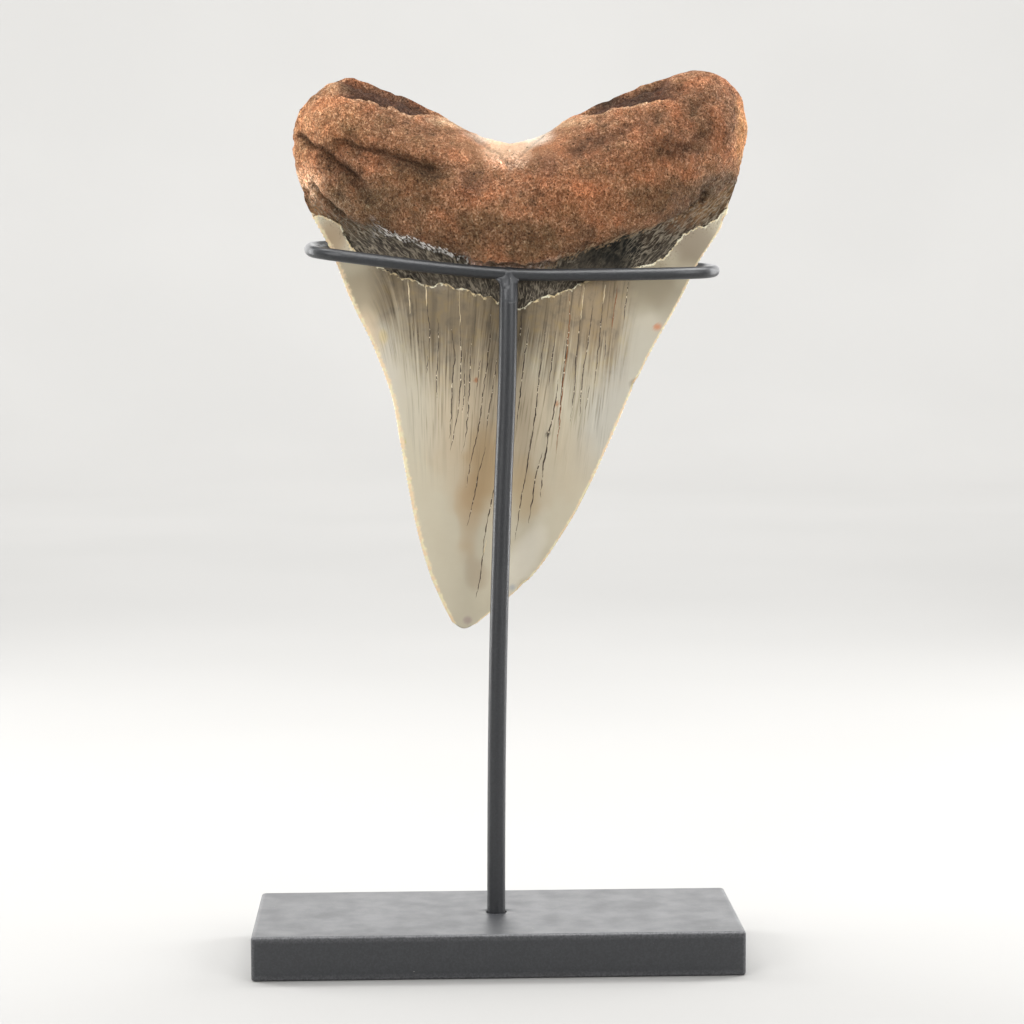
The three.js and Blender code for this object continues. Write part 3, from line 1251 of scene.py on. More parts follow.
@dataclass
class Tooth:
    """The tooth: one closed mesh with its relief, stored stains with some painted light and shade, and
    finish.

    Attributes:
        tip: place of the tooth's own origin on the stand.
        form: the smooth form.
        columns: main columns on the front; even, and halved on the back.
        strip: share of the width in each narrow strip beside the edges.
        fine: rows of the strips for each row of the rest.
        rows: rows of the crown, the band, the lip's step, the root below its dome, and the dome.
        serration: fine rows from one tooth of the cutting edge to the next.
        grooves: grooves and ridges of the root.
        ledges: worn facets at the top.
        chips: notches in the outline.
        enamel_base: the enamel, under its stains.
        enamel_stains: what is laid over it, in this order.
        streak_tones: streaks below the enamel's upper edge, on the left and on the right.
        thread_lean: lean of the streaks at each x, about a level of their own.
        thread_level: that level.
        streak_end: height at which the streaks end, at each x.
        slant: slant of the band's strands at each x, about a level of their own.
        slant_level: that level.
        crust_base: the band, under its stains.
        crust_stains: what is laid over it.
        facet: the ledges' facets.
        ledge_highlight: painted highlight along the ledges' edges.
        bone_base: the root, under its stains.
        bone_stains_and_painted_light: what is laid over it: stains, with painted light on rims and the
            notch and painted shade above the lip.
        lip_foot: a paler tone where the lip meets the band, in the middle.
        lip_shade: shade on the lip.
        lip_tones: flakes of the lip, on the left and on the right.
    """

    tip: Place = (-7, 15, 74.1)
    form: ToothForm = field(default_factory=ToothForm)
    columns: int = 188
    strip: float = 0.006
    fine: int = 4
    rows: tuple[int, ...] = (150, 16, 4, 30, 58)
    serration: int = 6
    grooves: tuple[Groove, ...] = (
        Groove(((-37.4, 113.9), (-31.4, 109.9), (-28.4, 107.7), (-23.7, 103.2)), 0.8, 0.6),
        Groove(((-36.8, 112.9), (-31.2, 109.2), (-27.4, 106.2), (-22.5, 101.8)), 0.7, 2.2),
        Groove(((-28.1, 112.7), (-22, 110.1), (-16.2, 109), (-13, 107.8), (-6.5, 105.3)), 0.8, 0.6),
        Groove(((-26.1, 111.5), (-20.2, 109), (-12.2, 106.8), (-5.4, 104)), 0.7, 2.4),
        Groove(
            ((-34.3, 102.3), (-31.3, 98.8), (-26.9, 95), (-24.5, 93.1), (-22.2, 91), (-18.6, 87.2)),
            0.9, 0.6,
        ),
        Groove(((-32.6, 103.4), (-29.9, 100.1), (-25.6, 96.4), (-22.7, 94.2)), -0.45, 0.8),
        Groove(((56.2, 99.5), (52.8, 95.6), (50.1, 93)), 0.9, 0.9),
        Groove(((45.7, 91.4), (41, 85.9)), -0.35, 0.7),
        Groove(((25.5, 109.4), (31.4, 112.6), (37, 113.9)), 0.45, 1.8),
        Groove(((39, 115.3), (42.6, 117), (46.3, 118.4)), 0.45, 1.6),
        Groove(((45.8, 109.4), (52.1, 111.1), (55.3, 113.4)), 0.4, 1.7),
        Groove(((10.9, 107), (10.9, 103.5)), 0.4, 0.5),
        Groove(((3.5, 113), (7.5, 109.8), (10.5, 106.8)), 0.4, 0.4),
        Groove(((19, 113.8), (15, 109.8), (11.6, 106.6)), 0.35, 0.4),
    )
    ledges: tuple[Ledge, ...] = (
        Ledge(
            ((-23.2, 122.2), (-17.7, 120.2), (-13.8, 119.2), (-10.4, 118.2), (-7, 118.7), (-4.7, 117.9)),
            2.0, fade=7.0,
        ),
        Ledge(((28.9, 118.3), (34.4, 119.3), (39, 120), (44.4, 121.7)), 1.9, fade=5.0),
    )
    chips: tuple[Chip, ...] = (
        Chip(-35.8, 100.8, 0.7, 0.9),
        Chip(62.9, 97.8, 0.6, 1.2),
        Chip(61.2, 94.2, 0.5, 0.8),
        Chip(40.2, 56.4, 0.6, 1.2),
        Chip(14.2, 9.9, 0.6, 1.2),
        Chip(49.8, 124.5, 1.1, 1.0),
    )
    enamel_base: Colour = (198, 189, 166)
    enamel_stains: tuple[TonePatch, ...] = (
        TonePatch(6, 46, 18, 30, (192, 172, 142), 0.7),
        TonePatch(-14, 56, 8, 18, (198, 190, 170), 0.8, -0.2),
        TonePatch(-20, 62, 7, 16, (208, 202, 190), 0.5, -0.2),
        TonePatch(38, 58, 10, 24, (192, 187, 172), 0.85, 0.4),
        TonePatch(32, 48, 6, 18, (190, 188, 180), 0.4, 0.4),
        TonePatch(-22, 78, 11, 9, (150, 136, 110), 0.8),
        TonePatch(-30, 90, 5, 7, (170, 146, 116), 0.8),
        TonePatch(-22, 67, 4, 8, (220, 198, 166), 0.8),
        TonePatch(44, 80, 9, 10, (142, 129, 103), 0.75),
        TonePatch(53, 89, 7, 7, (146, 132, 112), 0.85),
        TonePatch(4.5, 37, 4.5, 13, (170, 138, 90), 0.65, 0.05),
        TonePatch(14, 32, 4, 10, (184, 158, 116), 0.6),
        TonePatch(1.5, 29, 4, 12, (178, 148, 108), 0.55),
        TonePatch(24, 38, 8, 12, (190, 176, 150), 0.6),
        TonePatch(14, 16, 5, 11, (218, 211, 194), 0.85, 0.5),
        TonePatch(3, 13, 3, 5, (166, 146, 120), 0.5),
        TonePatch(-3, 9, 3, 8, (200, 191, 168), 0.6),
        TonePatch(1, 2, 1.6, 1.4, (150, 120, 126), 0.5),
        TonePatch(3.1, 57.9, 0.7, 0.8, (176, 96, 40), 0.9),
        TonePatch(21.6, 52.3, 0.6, 0.9, (176, 104, 48), 0.8),
        TonePatch(19.6, 45.4, 0.7, 0.9, (58, 48, 38), 0.9),
        TonePatch(45.2, 69.7, 1.4, 1.0, (206, 122, 72), 0.85),
        TonePatch(-18.1, 68, 1.2, 1.8, (218, 198, 140), 0.6),
        TonePatch(-13.2, 43.6, 0.6, 0.6, (186, 180, 96), 0.7),
        TonePatch(-12.3, 34.6, 0.6, 0.6, (188, 182, 100), 0.7),
        TonePatch(11.4, 9.5, 1.0, 1.0, (150, 158, 170), 0.6),
    )
    streak_tones: tuple[Colour, Colour] = ((112, 95, 68), (146, 125, 94))
    thread_lean: SmoothLine = SmoothLine((
        (-22, -0.35), (-14, -0.12), (-6, 0.0), (4, 0.1), (14, 0.15), (24, 0.12), (34, 0.11), (44, 0.2),
    ))
    thread_level: float = 65
    streak_end: SmoothLine = SmoothLine((
        (-20, 72), (-14, 67), (-8, 60), (0, 59), (8, 61), (15, 60.5), (24, 60), (32, 59.5), (40, 66),
    ))
    slant: SmoothLine = SmoothLine(((-24, 1.1), (-4, 0.7), (10, 0.1), (20, -0.3), (34, -0.8), (50, -1.1)))
    slant_level: float = 86
    crust_base: Colour = (78, 71, 61)
    crust_stains: tuple[TonePatch, ...] = (
        TonePatch(-35, 98, 9, 10, (150, 112, 78), 0.95, -0.6),
        TonePatch(-26, 94, 7, 6, (104, 88, 68), 0.8, -0.6),
        TonePatch(-14, 87, 12, 5, (78, 70, 62), 0.7, -0.5),
        TonePatch(36, 87.5, 10, 5, (22, 24, 20), 0.95, 0.4),
        TonePatch(45, 91.5, 5, 5, (62, 50, 38), 0.85, 0.5),
        TonePatch(52, 95, 5, 4, (136, 100, 70), 0.8, 0.5),
        TonePatch(-2, 81, 8, 3, (104, 96, 84), 0.7),
        TonePatch(57, 100, 10, 7, (134, 102, 68), 0.9, 0.5),
    )
    facet: Colour = (78, 50, 34)
    ledge_highlight: Colour = (206, 158, 118)
    bone_base: Colour = (160, 108, 74)
    bone_stains_and_painted_light: tuple[TonePatch, ...] = (
        TonePatch(-30, 116, 12, 12, (186, 128, 86), 0.7),
        # Paler along the left lobe's edge: partly its own colour, partly painted rim light.
        TonePatch(-37, 115, 4.5, 13, (206, 140, 92), 0.75),
        TonePatch(-12, 113, 12, 5, (150, 104, 70), 0.5, -1.2),
        # Pale notch at the top middle: partly its own pale colour, partly painted highlight from the
        # light above.
        TonePatch(12, 113.2, 12, 4.2, (246, 214, 186), 1.0),
        # Next two: pale lines along the top outline beside the notch, partly their own colour, partly
        # painted rim light.
        TonePatch(0, 116.5, 9, 1.6, (214, 168, 126), 0.8, -1.6),
        TonePatch(24, 116.5, 9, 1.6, (206, 160, 118), 0.6, 1.8),
        # Paler below the notch: partly its own colour, partly painted highlight from the light above.
        TonePatch(10, 109.5, 8, 5, (236, 184, 146), 0.9),
        TonePatch(-36, 102, 6, 6, (232, 180, 138), 0.9),
        TonePatch(-28, 98, 5, 4, (132, 106, 82), 0.6),
        TonePatch(58, 119, 11, 9, (130, 88, 60), 0.75),
        # Paler along the right lobe's edge: partly its own colour, partly painted rim light.
        TonePatch(66, 114, 4, 13, (206, 142, 88), 0.8),
        TonePatch(40, 108, 14, 6, (128, 80, 50), 0.5, 0.4),
        # Next three: darker just above the lip, painted shade like lip_shade.
        TonePatch(-20, 98, 16, 8, (122, 92, 64), 0.8, -0.5),
        TonePatch(12, 90, 30, 7, (114, 82, 56), 0.75),
        TonePatch(46, 99, 16, 6, (106, 76, 50), 0.75, 0.5),
        TonePatch(58, 102, 8, 4, (96, 80, 60), 0.7, 0.8),
        TonePatch(-14, 122, 11, 3.5, (100, 64, 42), 0.8, -1.5),
        TonePatch(36, 121.5, 11, 3, (74, 54, 40), 0.85, 1.0),
        TonePatch(24, 100, 14, 8, (156, 96, 60), 0.5),
        TonePatch(-8, 104, 9, 4, (112, 84, 54), 0.6, -0.8),
        TonePatch(2, 102, 5, 5, (112, 74, 52), 0.7),
        TonePatch(19, 107, 5, 4, (132, 88, 62), 0.7),
        TonePatch(51, 110, 6, 5, (112, 74, 52), 0.6),
        # Paler at the top of the left lobe: partly its own colour, partly painted rim light.
        TonePatch(-28, 124.5, 4, 2.5, (206, 150, 108), 0.8),
    )
    lip_foot: Colour = (216, 180, 154)
    lip_shade: Colour = (74, 60, 44)
    lip_tones: tuple[Colour, Colour] = ((255, 250, 244), (168, 142, 112))

    def _shares(self) -> tuple[Array, Array]:
        """Rows and columns of the grid, fine rows included.

        Rows lie closer together towards the tip, as t^1.12, and up the dome, as the sine of a
        right angle's share t.

        Returns:
            v of each fine row and u of each column.
        """
        form = self.form
        ends = (0, form.margin_share, form.lip_share - form.lip_step, form.lip_share, form.dome_share, 1)
        steps = [np.linspace(0, 1, count + 1)[1:] for count in self.rows]
        steps[0] = steps[0] ** 1.12
        steps[-1] = np.sin(steps[-1] * np.pi / 2)
        spans = [mix(low, high, t) for (low, high), t in zip(itertools.pairwise(ends), steps)]
        coarse = np.concatenate([[0], *spans])
        place = np.arange((len(coarse) - 1) * self.fine + 1) / self.fine
        v = np.interp(place, np.arange(len(coarse)), coarse)
        t = np.linspace(0, 1, self.columns + 1)
        main = mix(self.strip, 1 - self.strip, 0.5 * t + 0.25 * (1 - np.cos(np.pi * t)))
        half = self.strip / 2
        return v, np.concatenate([[0, half], main, [1 - half, 1]])

    def build(self) -> Object:
        """Makes the mesh: front and back sheets that share their border points.

        Strips beside the cutting edges have finer rows, and the back has every other column; faces
        with more corners join coarse cells to fine ones.

        Returns:
            The tooth.
        """
        v_rows, u_columns = self._shares()
        v, u = np.meshgrid(v_rows, u_columns, indexing="ij")
        sheets = (self.form.front(u, v), self.form.back(u, v))
        normals = [self._normals(sheets[0], 1), self._normals(sheets[1], -1)]
        rim = np.zeros(u.shape, bool)
        rim[0] = rim[-1] = True
        rim[:, 0] = rim[:, -1] = True
        shared = normals[0] + normals[1]
        shared /= np.maximum(np.linalg.norm(shared, axis=-1, keepdims=True), 1e-9)
        normals[0] = np.where(rim[..., None], shared, normals[0])

        row, column = np.indices(u.shape)
        last = u.shape[1] - 1
        in_strip = (column <= 2) | (column >= last - 2)
        coarse = row % self.fine == 0
        on_front = in_strip | coarse
        on_back = (in_strip | (coarse & (column % 2 == 0))) & ~rim
        front_ids = np.where(on_front, np.cumsum(on_front).reshape(u.shape) - 1, -1)
        count = on_front.sum()
        back_ids = np.where(on_back, count + np.cumsum(on_back).reshape(u.shape) - 1, front_ids)

        width = sheets[0][:, -1:, 0] - sheets[0][:, :1, 0] + np.zeros_like(u)
        picks = (on_front, on_back)
        base = np.concatenate([sheet[pick] for sheet, pick in zip(sheets, picks)])
        outward = np.concatenate([normal[pick] for normal, pick in zip(normals, picks)])
        u, v, width, row = (np.concatenate([grid[pick] for pick in picks]) for grid in (u, v, width, row))
        behind = np.arange(len(u)) >= count
        place = ToothPlaces(base, u, v, width, row, behind)
        height = self.relief(place)
        points = base + outward * height[:, None] + np.array(self.tip)
        faces = self._faces(front_ids, 1) + [part[:, ::-1] for part in self._faces(back_ids, 2)]
        piece = make_object("tooth", points, faces)
        self.paint(piece, place, height)
        return piece

    @staticmethod
    def _normals(sheet: Array, sign: int) -> Array:
        """Unit normals: the cross product of the grid's two directions, times the sign."""
        cross = sign * np.cross(np.gradient(sheet, axis=1), np.gradient(sheet, axis=0))
        return cross / np.maximum(np.linalg.norm(cross, axis=-1, keepdims=True), 1e-12)

    def _faces(self, ids: Array, step: int) -> list[Array]:
        """Faces of one sheet.

        Args:
            ids: vertex numbers.
            step: columns that a main cell spans.

        Returns:
            Arrays of faces, anticlockwise seen from the front.
        """
        rows, last = np.arange(ids.shape[0] - 1), ids.shape[1] - 1
        strips = np.array([0, 1, last - 2, last - 1])
        faces = [cells(ids, rows, strips)]
        tall = np.arange(0, ids.shape[0] - 1, self.fine)
        wide = np.arange(2, last - 2, step)
        rims = ((tall[:1], 1, step), (tall[1:-1], step, step), (tall[-1:], step, 1))
        sides = ((wide[:1], self.fine, 1), (wide[1:-1], self.fine, self.fine), (wide[-1:], 1, self.fine))
        for (k, low, high), (c, right, left) in itertools.product(rims, sides):
            faces.append(cells(ids, k, c, (self.fine, step), (low, right, high, left)))
        return faces

    def relief(self, place: "ToothPlaces") -> Array:
        """Height of the surface above the smooth form.

        Bone: four sizes of lumps, pits, grooves and ledges. Band: small lumps. Enamel: faint
        waves, a raised broken edge, and serrations of one tooth for every few fine rows.

        Args:
            place: where the vertices are.

        Returns:
            The heights in mm.
        """
        form, p, v = self.form, place.base, place.v
        x, z = p[:, 0], p[:, 2]
        front = ~place.behind
        lip = np.where(front, form.lip_share, form.margin_share + 0.01)
        bone = ease(v, lip - 0.004, lip + 0.006)
        enamel = ease(v, form.margin_share + 0.003, form.margin_share - 0.001)
        band = (1 - bone) * (1 - enamel)

        lumps = 0.42 * noise(p, 9, 11) + 0.24 * noise(p, 4.1, 12) + 0.15 * noise(p, 1.7, 13)
        lumps += 0.08 * noise(p, 0.9, 14)
        lumps -= 0.3 * pits(p, 2.3, 0.35, 21) + 0.16 * pits(p, 1.2, 0.4, 31)
        for groove in self.grooves:
            lumps += front * groove.relief(x, z)
        for ledge in self.ledges:
            lumps -= front * ledge.depth * ledge.share(x, z) * (1 + 0.3 * noise(p, 1.5, 41))
        resting = front * ease(v, 0.72, 0.69)
        lumps = np.where(resting > 0, np.minimum(lumps, mix(1.0, 0.12, resting)), lumps)

        crust = -0.3 + 0.2 * noise(p, 2.4, 51) + 0.12 * noise(p, 1.0, 52)
        middle = window(x, -20, -10, 26, 40)
        waves = 0.07 * middle * noise(p * np.array([1, 1, 0.3]), 3.2, 61) + 0.1 * noise(p, 13, 62)
        waves += 0.07 * bell(place.below_margin(form), 0.35)
        height = bone * lumps + band * crust + enamel * waves
        near_edge = np.exp(-place.edge / 0.35)
        teeth = 0.5 + 0.5 * np.cos(place.row * (2 * np.pi / self.serration))
        uneven = 0.7 + 0.5 * noise(p, 3, 71)
        height -= 0.26 * enamel * near_edge * teeth * uneven * ease(v, 0.02, 0.06)
        for chip in self.chips:
            height += chip.relief(x, z)
        return height

    def paint(self, piece: Object, place: "ToothPlaces", height: Array) -> None:
        """Stores the distances and colours that the finish reads.

        Args:
            piece: the tooth.
            place: where the vertices are.
            height: relief of each vertex.
        """
        form, p = self.form, place.base
        x, z = p[:, 0], p[:, 2]
        below = place.below_margin(form)
        middle = window(x, -2, 4, 18, 24)
        above = np.where(place.behind, -below, z - form.cross_line(form.lip_line, x) + 1.7 * middle)
        wobble = noise(p, 6, 81) + 0.5 * noise(p, 2.5, 82)

        bone = self._bone_tones(place, height, wobble)
        # A paler tone on the root where the lip meets the band, in the middle.
        foot = middle * ease(above, 2.2, 0.9) * ~place.behind
        bone = mix(bone, linear(self.lip_foot), 0.75 * foot[:, None])
        crust = self._stained(self.crust_base, self.crust_stains, place, wobble)
        crust = np.where(place.behind[:, None], bone, crust)
        shaded = 0.75 * window(x, -32, -24, 50, 58) * (1 - 0.8 * middle)
        bone = mix(bone, linear(self.lip_shade), (shaded * np.exp(-np.maximum(above, 0) / 1.8))[:, None])
        softness = 1 + 9 * ease(x, -17, -26) + 6 * ease(x, 47, 54)
        values = {
            "bone_tone": np.clip(bone, 0, 1),
            "crust_tone": np.clip(crust, 0, 1),
            "enamel_tone": self._stained(self.enamel_base, self.enamel_stains, place, wobble),
            "below_margin": below,
            "above_lip": above / softness,
            "edge": place.edge,
            **self._streak_values(place),
            **self._lip_values(place),
        }
        for name, numbers in values.items():
            add_values(piece, name, numbers)

    @staticmethod
    def _stained(base: Colour, stains: Sequence[TonePatch], place: "ToothPlaces", wobble: Array) -> Array:
        """A base colour with patches laid over it in order; on the root some of them are painted light
        and shade.

        Args:
            base: the colour under them.
            stains: the patches.
            place: where the vertices are.
            wobble: random values that fray the stains' borders.

        Returns:
            One colour per vertex.
        """
        tones = np.tile(linear(base), (len(wobble), 1))
        for stain in stains:
            tones = stain.over(tones, place.base[:, 0], place.base[:, 2], wobble)
        return tones

    def _bone_tones(self, place: "ToothPlaces", height: Array, wobble: Array) -> Array:
        """The root's colours: stains, painted shade in hollows and grooves, painted highlight on ridges,
        and the ledges' facets with painted shadow and highlight.

        Args:
            place: where the vertices are.
            height: relief of each vertex.
            wobble: random values that fray the borders.

        Returns:
            One colour per vertex.
        """
        x, z = place.base[:, 0], place.base[:, 2]
        bone = self._stained(self.bone_base, self.bone_stains_and_painted_light, place, wobble)
        # Painted shade: darker in the hollows of the relief, by their depth.
        hollow_shade = ease(-height, 0.05, 0.9)
        bone = bone * (1 - 0.5 * hollow_shade[:, None]) * (1 + 0.1 * wobble[:, None])
        # Painted shade along the grooves, and painted highlight along the ridges, whose depth is
        # negative.
        for groove in self.grooves:
            line = bell(groove.distance(x, z), 0.8 * groove.width)
            shade = 1 - 0.4 * line / max(1, groove.width) if groove.depth > 0 else 1 + 0.3 * line
            bone = np.where(place.behind[:, None], bone, bone * shade[:, None])
        for ledge in self.ledges:
            rise = ledge.above(x, z)
            inside = ledge.inside(x) * ~place.behind
            # The facet's own tone above the edge, a painted shadow as a darker line just above the edge,
            # and a painted highlight along the edge.
            for share, shape, tone in (
                (0.85, ease(rise, 0.0, 0.4), linear(self.facet)),
                (0.6, window(rise, 0.1, 0.5, 0.8, 1.5), linear(self.facet) * 0.45),
                (0.55, window(rise, -0.9, -0.4, -0.1, 0.15), linear(self.ledge_highlight)),
            ):
                bone = mix(bone, tone, share * (inside * shape)[:, None])
        return bone

    def _streak_values(self, place: "ToothPlaces") -> dict[str, Array]:
        """Where the enamel's streaks run and end: along lines that lean, and in the middle only.

        A third coordinate sets the back apart from the front, so that their streaks differ.

        Args:
            place: where the vertices are.

        Returns:
            Values by the names that the finish reads.
        """
        x, z = place.base[:, 0], place.base[:, 2]
        thread = x - self.thread_lean.at(x) * (z - self.thread_level)
        left, right = (linear(tone) for tone in self.streak_tones)
        return {
            "flow": np.stack([thread, z, place.behind * 50.0], -1),
            "above_end": z - self.streak_end.at(x),
            "sides": window(x, -23, -16, 34, 42),
            "lower": ease(z, 30, 50) * window(x, -15, -8, 30, 38),
            "streak_tone": mix(left, right, ease(x, 16, 28)[:, None]),
        }

    def _lip_values(self, place: "ToothPlaces") -> dict[str, Array]:
        """The slanting lines of the band, the flakes of the lip and the worn notch above.

        Args:
            place: where the vertices are.

        Returns:
            Values by the names that the finish reads.
        """
        x, y, z = place.base.T
        in_front = ~place.behind
        left, right = (linear(tone) for tone in self.lip_tones)
        white = window(x, -22, -14, 0, 4)
        tan = 0.8 * window(x, 14, 20, 44, 49)
        return {
            "slant": np.stack([x + self.slant.at(x) * (z - self.slant_level), z, y], -1),
            "flakes": in_front * (white + tan),
            "lip_tone": mix(left, right, ease(x, 6, 14)[:, None]),
            "roughed": 1 - 0.9 * window(x, 24, 28, 36, 41),
            "worn": bell(x - 12, 11) * ease(z, 105.5, 110.5) * in_front,
        }

    def dress(self, piece: Object, effects: Effects) -> None:
        """Gives the tooth its finish and its place in the frame.

        Args:
            piece: the tooth.
            effects: the shared node groups.
        """
        piece.data.materials.append(FossilTooth().material(effects))
        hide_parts("tooth")
        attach(piece, BODY)


@dataclass(frozen=True)
class ToothPlaces:
    """Where the tooth's vertices are on its smooth form.

    Attributes:
        base: place in the tooth's own frame.
        u: share across.
        v: share along.
        width: of the tooth at that row.
        row: number of the fine row.
        behind: whether it is on the back.
    """

    base: Array
    u: Array
    v: Array
    width: Array
    row: Array
    behind: Array

    @property
    def edge(self) -> Array:
        """Distance to the nearer side edge, mm."""
        return np.minimum(self.u, 1 - self.u) * self.width

    def below_margin(self, form: ToothForm) -> Array:
        """Distance below the enamel's upper edge, which is a little higher on the back.

        The drop to the edge's height is divided by √(1 + slope²) to make it square to the edge.

        Args:
            form: the smooth form.

        Returns:
            The distances in mm.
        """
        x, z = self.base[:, 0], self.base[:, 2]
        slope = form.margin_line.at(x + 0.5) - form.margin_line.at(x - 0.5)
        margin = form.cross_line(form.margin_line, x) + 1.5 * self.behind
        return (margin - z) / np.sqrt(1 + slope**2)


@dataclass(frozen=True)
class Crack:
    """A filled crack in the enamel.

    Attributes:
        path: x and z from its upper end to its lower end.
        width: at its widest.
        filling: what fills it.
        gaps: how often it is broken, 0 to 1.
    """

    path: Points
    width: float = 0.2
    filling: Vein = Vein.DARK
    gaps: float = 0.3


@dataclass
class Veins:
    """The thin filled cracks along the enamel, as one piece of many slender slivers.

    Attributes:
        tooth: the tooth they are in.
        colours: dark, pale and rust-coloured filling.
        pitch: length of a sliver's row, mm.
        proud: how far a sliver stands out of the surface.
        sunk: how far it reaches into it.
        cracks: the cracks, from left to right and from the enamel's edge down.
    """

    tooth: Tooth
    colours: tuple[Colour, Colour, Colour] = ((66, 52, 38), (226, 206, 168), (136, 84, 42))
    pitch: float = 0.3
    proud: float = 0.03
    sunk: float = 0.12
    cracks: tuple[Crack, ...] = (
        Crack(((-12.3, 81.1), (-12.0, 76.6), (-11.8, 72.9)), 0.24, Vein.PALE, 0.6),
        Crack(((-11.2, 71.1), (-11.1, 67.5)), 0.16),
        Crack(((-8.2, 79.6), (-8.0, 74.7)), 0.22, Vein.PALE, 0.6),
        Crack(((-8.0, 75.5), (-7.4, 70.0), (-7.6, 64.7)), 0.2),
        Crack(((-10.1, 70), (-10, 65.5)), 0.16),
        Crack(((-7.9, 63.5), (-8.2, 59.3)), 0.14),
        Crack(((-5.6, 72.1), (-5.4, 67), (-5.7, 61.5), (-5.9, 53.6)), 0.2),
        Crack(((-2.5, 70.5), (-1.7, 63), (-2.1, 60.6), (-2.8, 46.4), (-3.2, 44.1)), 0.22),
        Crack(((-0.7, 78.5), (-0.4, 70)), 0.18, Vein.PALE, 0.7),
        Crack(((-0.4, 71), (-0.3, 63), (-0.8, 52.4), (-2.2, 44.3), (-2.9, 41.3)), 0.2),
        Crack(((0.7, 64.3), (0.4, 55.6), (-0.1, 50.1)), 0.18),
        Crack(((2, 67.5), (1.5, 54.4), (0.9, 46.7), (-0.2, 40.7)), 0.2),
        Crack(((4, 62.5), (3.3, 55.9)), 0.16),
        Crack(((6.6, 75.3), (6, 64.8), (4.8, 55.6), (3.6, 46.5), (2.2, 40.7), (0.6, 32.9)), 0.24),
        Crack(((7.9, 63), (6.4, 53.1), (5.3, 46.5)), 0.2),
        Crack(((5.3, 42.6), (3.5, 35.8), (2.5, 30.6), (0.9, 24)), 0.2),
        Crack(((7.8, 37.2), (6.7, 30.6), (4.9, 21.4), (4.1, 13.5), (2.9, 7.2)), 0.27, Vein.DARK, 0.4),
        Crack(((5.4, 21.1), (4.6, 17.2)), 0.3, Vein.PALE, 0.5),
        Crack(((13.5, 73.4), (13.2, 66.7)), 0.22),
        Crack(((15.2, 70.6), (13.9, 61.5), (12.9, 52.4), (12, 46.4)), 0.24),
        Crack(((19.2, 71.4), (17.7, 60.5), (16.7, 50.6), (15.3, 41.2), (13.2, 29.2), (11.9, 20.6)), 0.26),
        Crack(((21.4, 69.4), (20.2, 60.5), (19.7, 56.5)), 0.22),
        Crack(((24.4, 77.7), (24.4, 69.8), (23.2, 58.9), (22.1, 46.3), (21.5, 40.5)), 0.26, Vein.RUST),
        Crack(((24.2, 69.8), (23.0, 58.9), (21.9, 46.3)), 0.2),
        Crack(((27.8, 79.9), (27.1, 71.3)), 0.22, Vein.PALE, 0.6),
        Crack(((27.3, 74), (26, 62.1), (25.8, 56.7), (24.8, 47.9)), 0.22),
        Crack(((22, 58), (20.9, 50.5), (19.7, 45.4), (18.4, 36.3), (17.8, 30.4)), 0.34, Vein.DARK, 0.25),
        Crack(((18.4, 41.2), (17, 36.6), (16, 30.4), (15.2, 24.5)), 0.26),
        Crack(((30.1, 76.7), (29, 67.3), (27.5, 57.9), (27.1, 49.1)), 0.22),
        Crack(((32.7, 79.6), (32.2, 75)), 0.2, Vein.PALE, 0.6),
        Crack(((32.2, 76), (31.1, 62.8), (30.4, 56.6)), 0.2),
        Crack(((35.7, 79.6), (34.6, 72.2), (34.4, 69.2)), 0.24, Vein.RUST, 0.2),
        Crack(((38.1, 80.4), (37.6, 75.7), (37.1, 71.2)), 0.2),
        Crack(((29.3, 56.6), (28.4, 50.6)), 0.16),
        Crack(((33, 69.1), (32.8, 62.2)), 0.16),
    )

    def build(self) -> Object:
        """Makes all slivers.

        A sliver is a flat diamond carried down the crack: two corners in the surface, one just
        proud of it and one sunk, half as far apart as a width that tapers to both ends.

        Returns:
            The piece.
        """
        lines = [self._line(crack, number) for number, crack in enumerate(self.cracks)]
        x, z, width, taper = (np.concatenate(parts) for parts in zip(*lines))
        points = self._slivers(x, z, width, taper)
        faces, tones, start = [], [], 0
        for crack, (_, z_line, _, _) in zip(self.cracks, lines):
            rows = len(z_line)
            faces += [part[:, ::-1] + start for part in tube_faces(rows, 4)]
            tones.append(np.tile(linear(self.colours[crack.filling.value]), (4 * rows, 1)))
            start += 4 * rows
        piece = make_object("enamel_veins", points, faces)
        add_values(piece, "tone", np.concatenate(tones))
        return piece

    def _line(self, crack: Crack, number: int) -> tuple[Array, ...]:
        """Centre line of one crack, with small random turns and breaks.

        Args:
            crack: the crack.
            number: picks its random values.

        Returns:
            x, z, width and taper at each row.
        """
        x_points, z_points = np.array(crack.path).T
        rows = max(8, round((z_points[0] - z_points[-1]) / self.pitch))
        z = np.linspace(z_points[0], z_points[-1], rows)
        along = np.stack([z, np.full(rows, 7.0 * number), np.zeros(rows)], -1)
        line = SmoothLine(tuple(zip(z_points[::-1], x_points[::-1])))
        x = line.at(z) + 0.12 * noise(along, 1.6, 91) + 0.08 * noise(along, 0.7, 92)
        taper = np.sqrt(np.maximum(1 - np.linspace(-1, 1, rows) ** 2, 0.002))
        held = 0.5 * crack.gaps
        whole = ease(0.5 + 0.5 * noise(along, 1.3, 93), held, held + 0.3)
        uneven = 1 + 0.35 * noise(along, 0.6, 94)
        return x, z, crack.width * taper * (0.4 + 0.6 * whole) * uneven, taper

